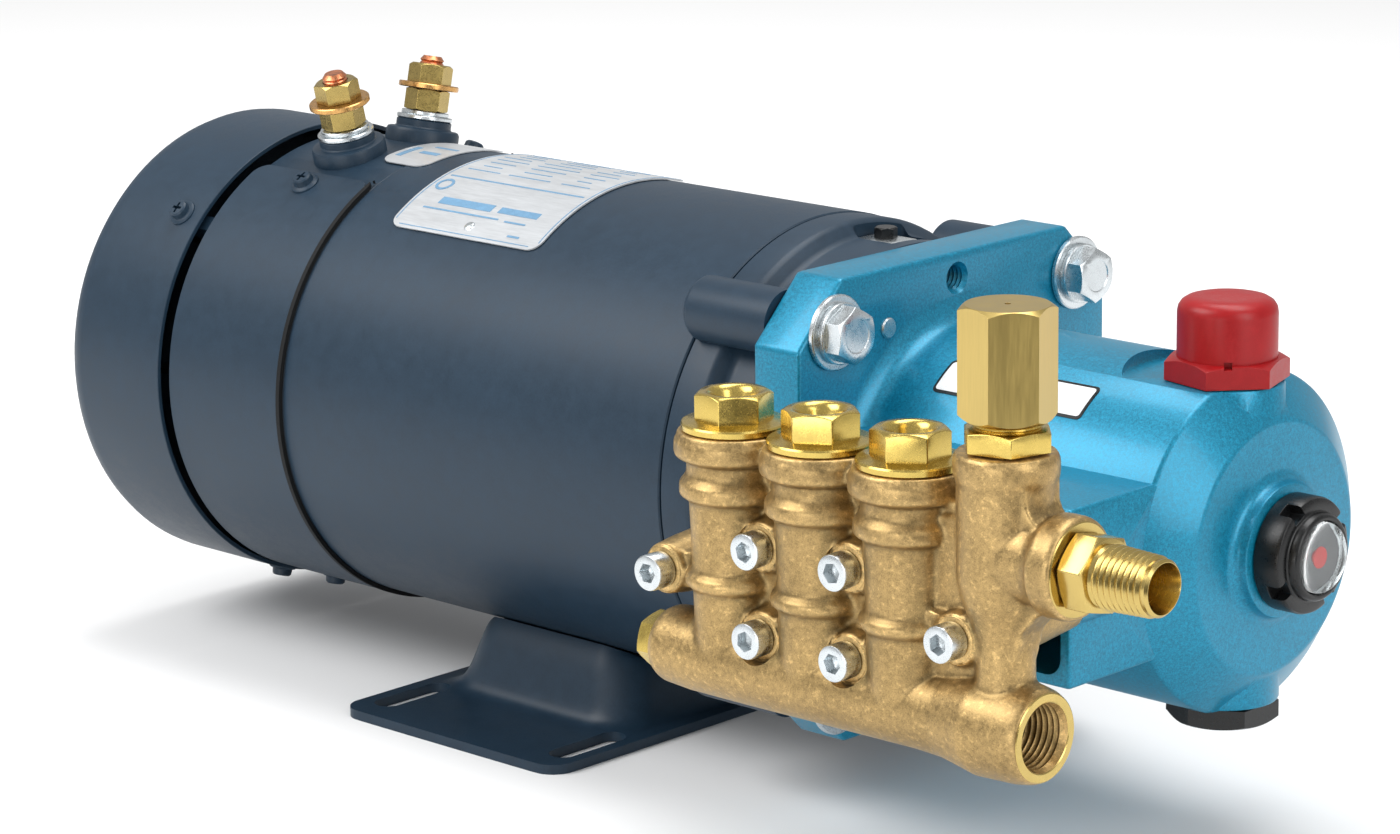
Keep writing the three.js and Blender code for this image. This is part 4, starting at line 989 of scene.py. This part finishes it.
class PUMP_OT_manifold(PumpStep, bpy.types.Operator):
    """Forged manifold: three valve columns, outlet elbow, inlet gallery, webs and screw seats"""

    bl_idname = "pump.manifold"
    bl_label = "Manifold casting"

    def build(self, sizes):
        casting = merged(self.columns() + self.outlet() + self.gallery() + self.webs())
        skin = casting.modifiers.new("skin", "REMESH")
        skin.mode = "VOXEL"
        skin.voxel_size = sizes.casting_grain / MM
        skin.use_smooth_shade = True
        soften = casting.modifiers.new("soften", "SMOOTH")
        soften.factor = 0.5
        soften.iterations = sizes.casting_softness
        casting = carved(baked(casting), self.bores(sizes.thread_pitch / MM))
        seats = [bar(6.3, -122.25, -112, "y", (x, 0, z), 48, 0.3) for x, z in SCREWS]
        casting = united([casting] + seats)
        casting = carved(casting, [bar(3.2, -125, -70, "y", (x, 0, z), 24) for x, z in SCREWS])
        done(casting, "manifold_casting", "housing", material("forged_brass"), ["manifold"],
             sharp=50)
        inlet = [(126.86, 9.2), (126.86, 11.7), (127.08, 11.4), (127.08, 9.5)]
        outlet = [(137.92, 9.3), (137.92, 12.3), (138.2, 12.0), (138.2, 9.6)]
        faces = [turned(inlet, "x", GALLERY, 64), turned(outlet, "x", ARM, 64)]
        done(merged(faces), "machined_faces", "housing", material("turned_brass"))

    def columns(self):
        rows = [
            (-27, 0), (-26.8, 6), (-25.4, 9.2), (-22.5, 11), (-3.0, 11.6), (-2.4, 12.9), (-1.2, 13.8),
            (0.4, 13.8), (1.4, 12.8), (2.2, 11.8), (12, 12.0), (21.6, 12.4), (22.3, 14.2), (23.2, 15.0),
            (26.2, 14.9), (27.2, 14.0), (28.2, 13.0), (32.4, 12.9), (33.0, 15.2), (34.0, 16.3), (37.8, 16.2),
            (38.8, 15.4), (40.4, 15.3), (40.4, 0),
        ]
        return [turned(rows, "z", (x, COLUMN_Y, 0), 72) for x in COLUMNS]

    def outlet(self):
        """Post at the end, its arm, and the two fillets that round the elbow."""
        x, y, z = OUTLET
        post = [
            (-30, 0), (-30, 8.7), (-12, 7.7), (0, 7.6), (6, 9.4), (11, 11.6), (16, 12.7), (41.6, 12.8),
            (43.6, 13.6), (47.6, 13.7), (49.2, 13.0), (49.9, 12.2), (49.9, 0),
        ]
        arm = [
            (x - 4, 0), (x - 4, 12.3), (127.5, 11.5), (129.6, 12.2), (131.2, 13.5), (136.4, 13.5),
            (137.8, 12.9), (138.3, 12.0), (138.3, 0),
        ]
        elbow = [(x + 9, z + 8), (x + 21, z + 8), (x + 15, z + 10.5), (x + 12.4, z + 14), (x + 11.5, z + 20)]
        crook = [(x - 8, -4), (x + 6.6, -4), (x + 8.6, 4), (x + 13.5, 9.4), (x + 24, 13.5), (x, 20)]
        return [
            turned(post, "z", (x, y, 0), 72), turned(arm, "x", ARM, 72),
            moved(prism(elbow, -7, 7), UPRIGHT), moved(prism(crook, -5, 5), UPRIGHT),
        ]

    def gallery(self):
        """Inlet gallery along the bottom, and the barrels that lead back to the yoke."""
        rows = [
            (-4.6, 0), (-4.6, 8.2), (-3.8, 9.8), (-1.5, 10.8), (8, 11.4), (30, 11.4), (52, 11.2), (88, 11.0),
            (97, 11.4), (104, 12.6), (109, 13.6), (121, 13.2), (125.2, 12.5), (126.6, 11.8), (127.1, 11.0),
            (127.1, 0),
        ]
        barrels = [bar(12.4, COLUMN_Y, SEAT_Y, "y", (x, 0, 0), 64) for x in COLUMNS]
        return [turned(rows, "x", GALLERY, 72)] + barrels

    def webs(self):
        y = COLUMN_Y
        boss = [(-122.3, 0), (-122.3, 6.9), (-114, 8.0), (-100, 9.0), (SEAT_Y, 6.8), (SEAT_Y, 0)]
        return [
            block((8, 108), (y - 2.5, y + 8), (-24, 34)), block((-4, 88), (-84, SEAT_Y), (-12, 8)),
            block((0.3, 22), (y - 5, -90), (-5, 5)), block((82, 107), (y - 6, -86), (-6, 5)),
            block((86, 116), (y - 3.6, y + 4), (-22, 30)),
        ] + [turned(boss, "y", (x, 0, z), 48) for x, z in SCREWS]

    def bores(self, pitch):
        ox, y, _ = OUTLET
        tools = []
        for x in COLUMNS:
            at = (x, y, 0)
            stepped = ((8.2, 24, 45), (7, 11, 25), (4, -24, 12), (7, -15, 9))
            tools += [bar(r, lo, hi, "z", at) for r, lo, hi in stepped]
            tools += [bar(7, -109, -70, "y", (x, 0, 0)), bar(15.4, 40.25, 46, "z", at, 64)]
        tools += [bar(2.8, COLUMNS[0], ox, "x", (0, y + 3, 19)), bar(5, 12, 43, "z", (ox, y, 0))]
        tools += [bar(7.7, 42, 49.6, "z", (ox, y, 0)), bar(30, 49.5, 60, "z", (ox, y, 0), 64)]
        tools += [bar(5, ox, 129, "x", ARM), bar(9.2, 127, 137.6, "x", ARM)]
        tools += [bar(30, 137.9, 150, "x", ARM, 64)]
        tools += [bar(6, 10, 112, "x", GALLERY), bar(4.6, -8, 12, "x", GALLERY)]
        thread = [(s, r + 0.8) for s, r in ridges(110.2, 125.4, 8.3, 8.7, pitch, 0.8)]
        port = [(110, 0), (110, 8.2)] + thread + [(125.6, 9.3), (128.2, 10.4), (128.2, 0)]
        tools += [turned(port, "x", GALLERY, 64), bar(14.5, 126.85, 135, "x", GALLERY, 64)]
        return tools + [bar(7.1, -142, -122.1, "y", (x, 0, z), 48) for x, z in SCREWS]


class PUMP_OT_valve_plugs(PumpStep, bpy.types.Operator):
    """Three polished valve plugs with round flange, hexagon and dished recess"""

    bl_idname = "pump.valve_plugs"
    bl_label = "Valve plugs"

    def build(self, sizes):
        rows = [
            (24.6, 0), (24.6, 7.9), (40.3, 7.9), (40.3, 13.7), (40.7, 14.2), (42.1, 14.3), (42.6, 14.0),
            (42.8, 13.2), (42.9, 11.2), (43.2, 10.6), (43.2, 0),
        ]
        dish = [
            (44.6, 0), (44.6, 3.8), (45.0, 4.6), (48.6, 6.0), (49.9, 6.5), (50.5, 7.3), (50.9, 8.2),
            (50.9, 0),
        ]
        for n, (x, flat) in enumerate(zip(COLUMNS, (-40, -61, -55)), 1):
            at = (x, COLUMN_Y, 0)
            head = softened(hexagon(18.5, 42.7, 50.6, "z", at, flat, (0, 1.2)), 0.5, 2)
            plug = united([turned(rows, "z", at, 96), head])
            plug = carved(plug, [turned(dish, "z", at, 64), bar(5, 24, 34, "z", at)])
            done(plug, f"plug_{n}", "housing", material("bright_brass"), [f"valve_plug_{n}"],
                 edge=0.2)


class PUMP_OT_fittings(PumpStep, bpy.types.Operator):
    """Outlet adaptor, tall hexagon cap, threaded nipple and inlet plug"""

    bl_idname = "pump.fittings"
    bl_label = "Fittings"

    def build(self, sizes):
        x, y, z = OUTLET
        self.outlet_stack((x + 0.3, y, 0))
        self.nipple((0, y, z), sizes.thread_pitch / MM)
        head = softened(hexagon(13.6, -10.4, -4.8, "x", GALLERY, 15, (0.7, 0)), 0.3, 2)
        plug = united([head, bar(4.3, -6, 6, "x", GALLERY)])
        done(plug, "end_plug", "housing", material("bright_brass"), ["inlet_plug"],
             edge=0.15)

    def outlet_stack(self, at):
        nut = hexagon(21, 50.2, 55.8, "z", at, -16, (0, 0.9))
        rows = [
            (43, 0), (43, 6.9), (50.6, 6.9), (50.6, 8.4), (55.5, 8.4), (56.2, 8.6), (56.5, 9.0), (57.0, 8.8),
            (57.3, 8.3), (57.5, 7.9), (57.5, 0),
        ]
        adaptor = united([softened(nut, 0.3, 2), turned(rows, "z", at, 72)])
        done(adaptor, "adaptor", "housing", material("bright_brass"), ["outlet_adaptor"],
             edge=0.15)
        tall = carved(hexagon(22, 57.7, 87.2, "z", at, -42.6, (1.6, 1.6)), [bar(0.8, 86.4, 88, "z", at, 16)])
        done(tall, "tall_hexagon", "housing", material("satin_brass"), ["outlet_cap_hex"],
             edge=0.25)

    def nipple(self, at, pitch):
        head = softened(hexagon(19, 138.5, 146.5, "x", at, -13, (0.8, 0.8)), 0.25, 2)
        rows = [(129.5, 0), (129.5, 8.2), (139, 8.2), (146.2, 8.2), (147.3, 7.4)]
        rows += ridges(147.6, 162.6, 8.45, 7.9, pitch, 0.75)
        rows += [(163.6, 7.4), (164.1, 6.9), (164.3, 6.7), (164.3, 0)]
        bore = [(120, 0), (120, 4.4), (153, 4.4), (154, 4.6), (163.8, 6.4), (165, 6.8), (165, 0)]
        nipple = carved(united([head, turned(rows, "x", at, 72)]), [turned(bore, "x", at, 64)])
        done(nipple, "nipple", "housing", material("turned_brass"), ["outlet_nipple"],
             edge=0.1)


class PUMP_OT_manifold_screws(PumpStep, bpy.types.Operator):
    """Six zinc socket-head screws that hold the manifold"""

    bl_idname = "pump.manifold_screws"
    bl_label = "Manifold screws"

    def build(self, sizes):
        rows = [
            (-128.5, 0), (-128.5, 4.5), (-128.35, 4.8), (-127.9, 5.0), (-122.7, 5.0), (-122.5, 4.8),
            (-122.5, 2.9), (-66, 2.9), (-66, 0),
        ]
        for n, (x, z) in enumerate(SCREWS, 1):
            at = (x, 0, z)
            socket = hexagon(5, -129.5, -125.2, "y", at, 12 + 17 * n, (0, 0))
            tip = turned([(-125.4, 0), (-125.4, 2.5), (-123.9, 0)], "y", at, 24)
            screw = carved(turned(rows, "y", at, 56), [united([socket, tip])])
            done(screw, f"socket_screw_{n}", "housing", material("zinc"), [f"manifold_screw_{n}"],
                 edge=0.12)


class PUMP_OT_inner_finish(PumpStep, bpy.types.Operator):
    """Finishes of the frame's own parts that stay: shaft, armature, magnets, running gear and valves"""

    bl_idname = "pump.inner_finish"
    bl_label = "Inner parts' finish"

    def build(self, sizes):
        looks = {
            "magnet": "ferrite", "brush": "ferrite", "armature": "armature", "ceramic": "ceramic",
            "cooling": "black_plastic",
        }
        for name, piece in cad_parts.items():
            if piece.hide_render:
                continue
            for used in piece.material_slots:
                used.material = material(looks.get(name.split("_")[0], "steel"))


class PUMP_OT_stage(PumpStep, bpy.types.Operator):
    """Pale floor, soft studio lamps, a dark card for the brass to reflect, and the camera"""

    bl_idname = "pump.stage"
    bl_label = "Stage"

    def build(self, sizes):
        scene = bpy.context.scene
        self.sheet("floor", 6.0, 6.0, (*scene.pump_colours.floor, 1), 0.6, 0.0)
        self.studio(scene)
        view = self.camera(scene, sizes)
        card = self.sheet("dark_card", 0.17, 0.13, (0.09, 0.09, 0.085, 1))
        card.visible_camera = card.visible_diffuse = card.visible_shadow = card.visible_transmission = False
        moved(card, Matrix.Translation(AXIS + Vector((449, -349, -20)) * MM) @ view)

    def sheet(self, name, half_x, half_y, shade, rough=0.5, gloss=0.5):
        corners = [(-half_x, -half_y, 0), (half_x, -half_y, 0), (half_x, half_y, 0), (-half_x, half_y, 0)]
        piece = solid(name, corners, [(0, 1, 2, 3)])
        made = bpy.data.materials.new(name)
        made.use_nodes = True
        surface = made.node_tree.nodes["Principled BSDF"]
        surface.inputs["Base Color"].default_value = shade
        surface.inputs["Roughness"].default_value = rough
        surface.inputs["Specular IOR Level"].default_value = gloss
        piece.data.materials.append(made)
        return piece

    def studio(self, scene):
        world = bpy.data.worlds.new("studio")
        world.use_nodes = True
        sky = world.node_tree.nodes["Background"]
        sky.inputs["Color"].default_value = (1, 1, 1, 1)
        sky.inputs["Strength"].default_value = 0.52
        scene.world = world
        scene.view_settings.view_transform = "Standard"
        target = Vector((0.0, 0.0, 0.08))
        lamps = (      # place and size in metres, power in watts
            ("key", (-0.9, -1.3, 1.7), (1.6, 1.2), 36),
            ("side", (1.9, -0.3, 0.9), (0.9, 1.4), 15),
            ("top", (0.1, 0.4, 1.9), (1.8, 0.9), 28),
            ("front", (0.5, -2.1, 0.35), (1.2, 0.5), 10),
        )
        for name, spot, size, power in lamps:
            lamp = bpy.data.lights.new(name, "AREA")
            lamp.shape = "RECTANGLE"
            lamp.size, lamp.size_y = size
            lamp.energy = power
            holder = bpy.data.objects.new(name, lamp)
            holder.location = spot
            holder.rotation_euler = (target - Vector(spot)).to_track_quat("-Z", "Y").to_euler()
            scene.collection.objects.link(holder)

    def camera(self, scene, sizes):
        """Makes the camera, and returns how it is turned."""
        data = bpy.data.cameras.new("camera")
        data.sensor_width = 36
        data.lens = sizes.lens_length
        data.clip_start = 0.05
        camera = bpy.data.objects.new("camera", data)
        right = Vector((0.7241, 0.6896, -0.0140)).normalized()
        back = Vector((0.6724, -0.7012, 0.2369)).normalized()
        up = back.cross(right).normalized()
        right = up.cross(back).normalized()
        view = Matrix((right, up, back)).transposed().to_4x4()
        camera.matrix_world = Matrix.Translation(AXIS + Vector((809.6, -951.0, 323.8)) * MM) @ view
        scene.collection.objects.link(camera)
        scene.camera = camera
        return view


class PUMP_PT_panel(bpy.types.Panel):
    """Lists the building steps"""

    bl_label = "Pressure washer pump"
    bl_idname = "PUMP_PT_panel"
    bl_space_type = "VIEW_3D"
    bl_region_type = "UI"
    bl_category = "Pump"

    def draw(self, context):
        for group in (context.scene.pump_sizes, context.scene.pump_colours):
            box = self.layout.box()
            for key in group.__annotations__:
                box.prop(group, key)
        for step in STEPS:
            self.layout.operator(step.bl_idname)


STEPS = (
    PUMP_OT_motor_tube,
    PUMP_OT_rear_end,
    PUMP_OT_drive_end,
    PUMP_OT_foot,
    PUMP_OT_nameplate,
    PUMP_OT_terminals,
    PUMP_OT_crankcase,
    PUMP_OT_flange_bolts,
    PUMP_OT_gauge,
    PUMP_OT_caps,
    PUMP_OT_manifold,
    PUMP_OT_valve_plugs,
    PUMP_OT_fittings,
    PUMP_OT_manifold_screws,
    PUMP_OT_inner_finish,
    PUMP_OT_stage,
)
CLASSES = (PumpSizes, PumpColours) + STEPS + (PUMP_PT_panel,)


def register():
    for item in CLASSES:
        bpy.utils.register_class(item)
    bpy.types.Scene.pump_sizes = bpy.props.PointerProperty(type=PumpSizes)
    bpy.types.Scene.pump_colours = bpy.props.PointerProperty(type=PumpColours)


def unregister():
    del bpy.types.Scene.pump_colours
    del bpy.types.Scene.pump_sizes
    for item in reversed(CLASSES):
        bpy.utils.unregister_class(item)


def main():
    register()
    for step in STEPS:
        family, call = step.bl_idname.split(".")
        getattr(getattr(bpy.ops, family), call)()


if __name__ == "__main__":
    main()
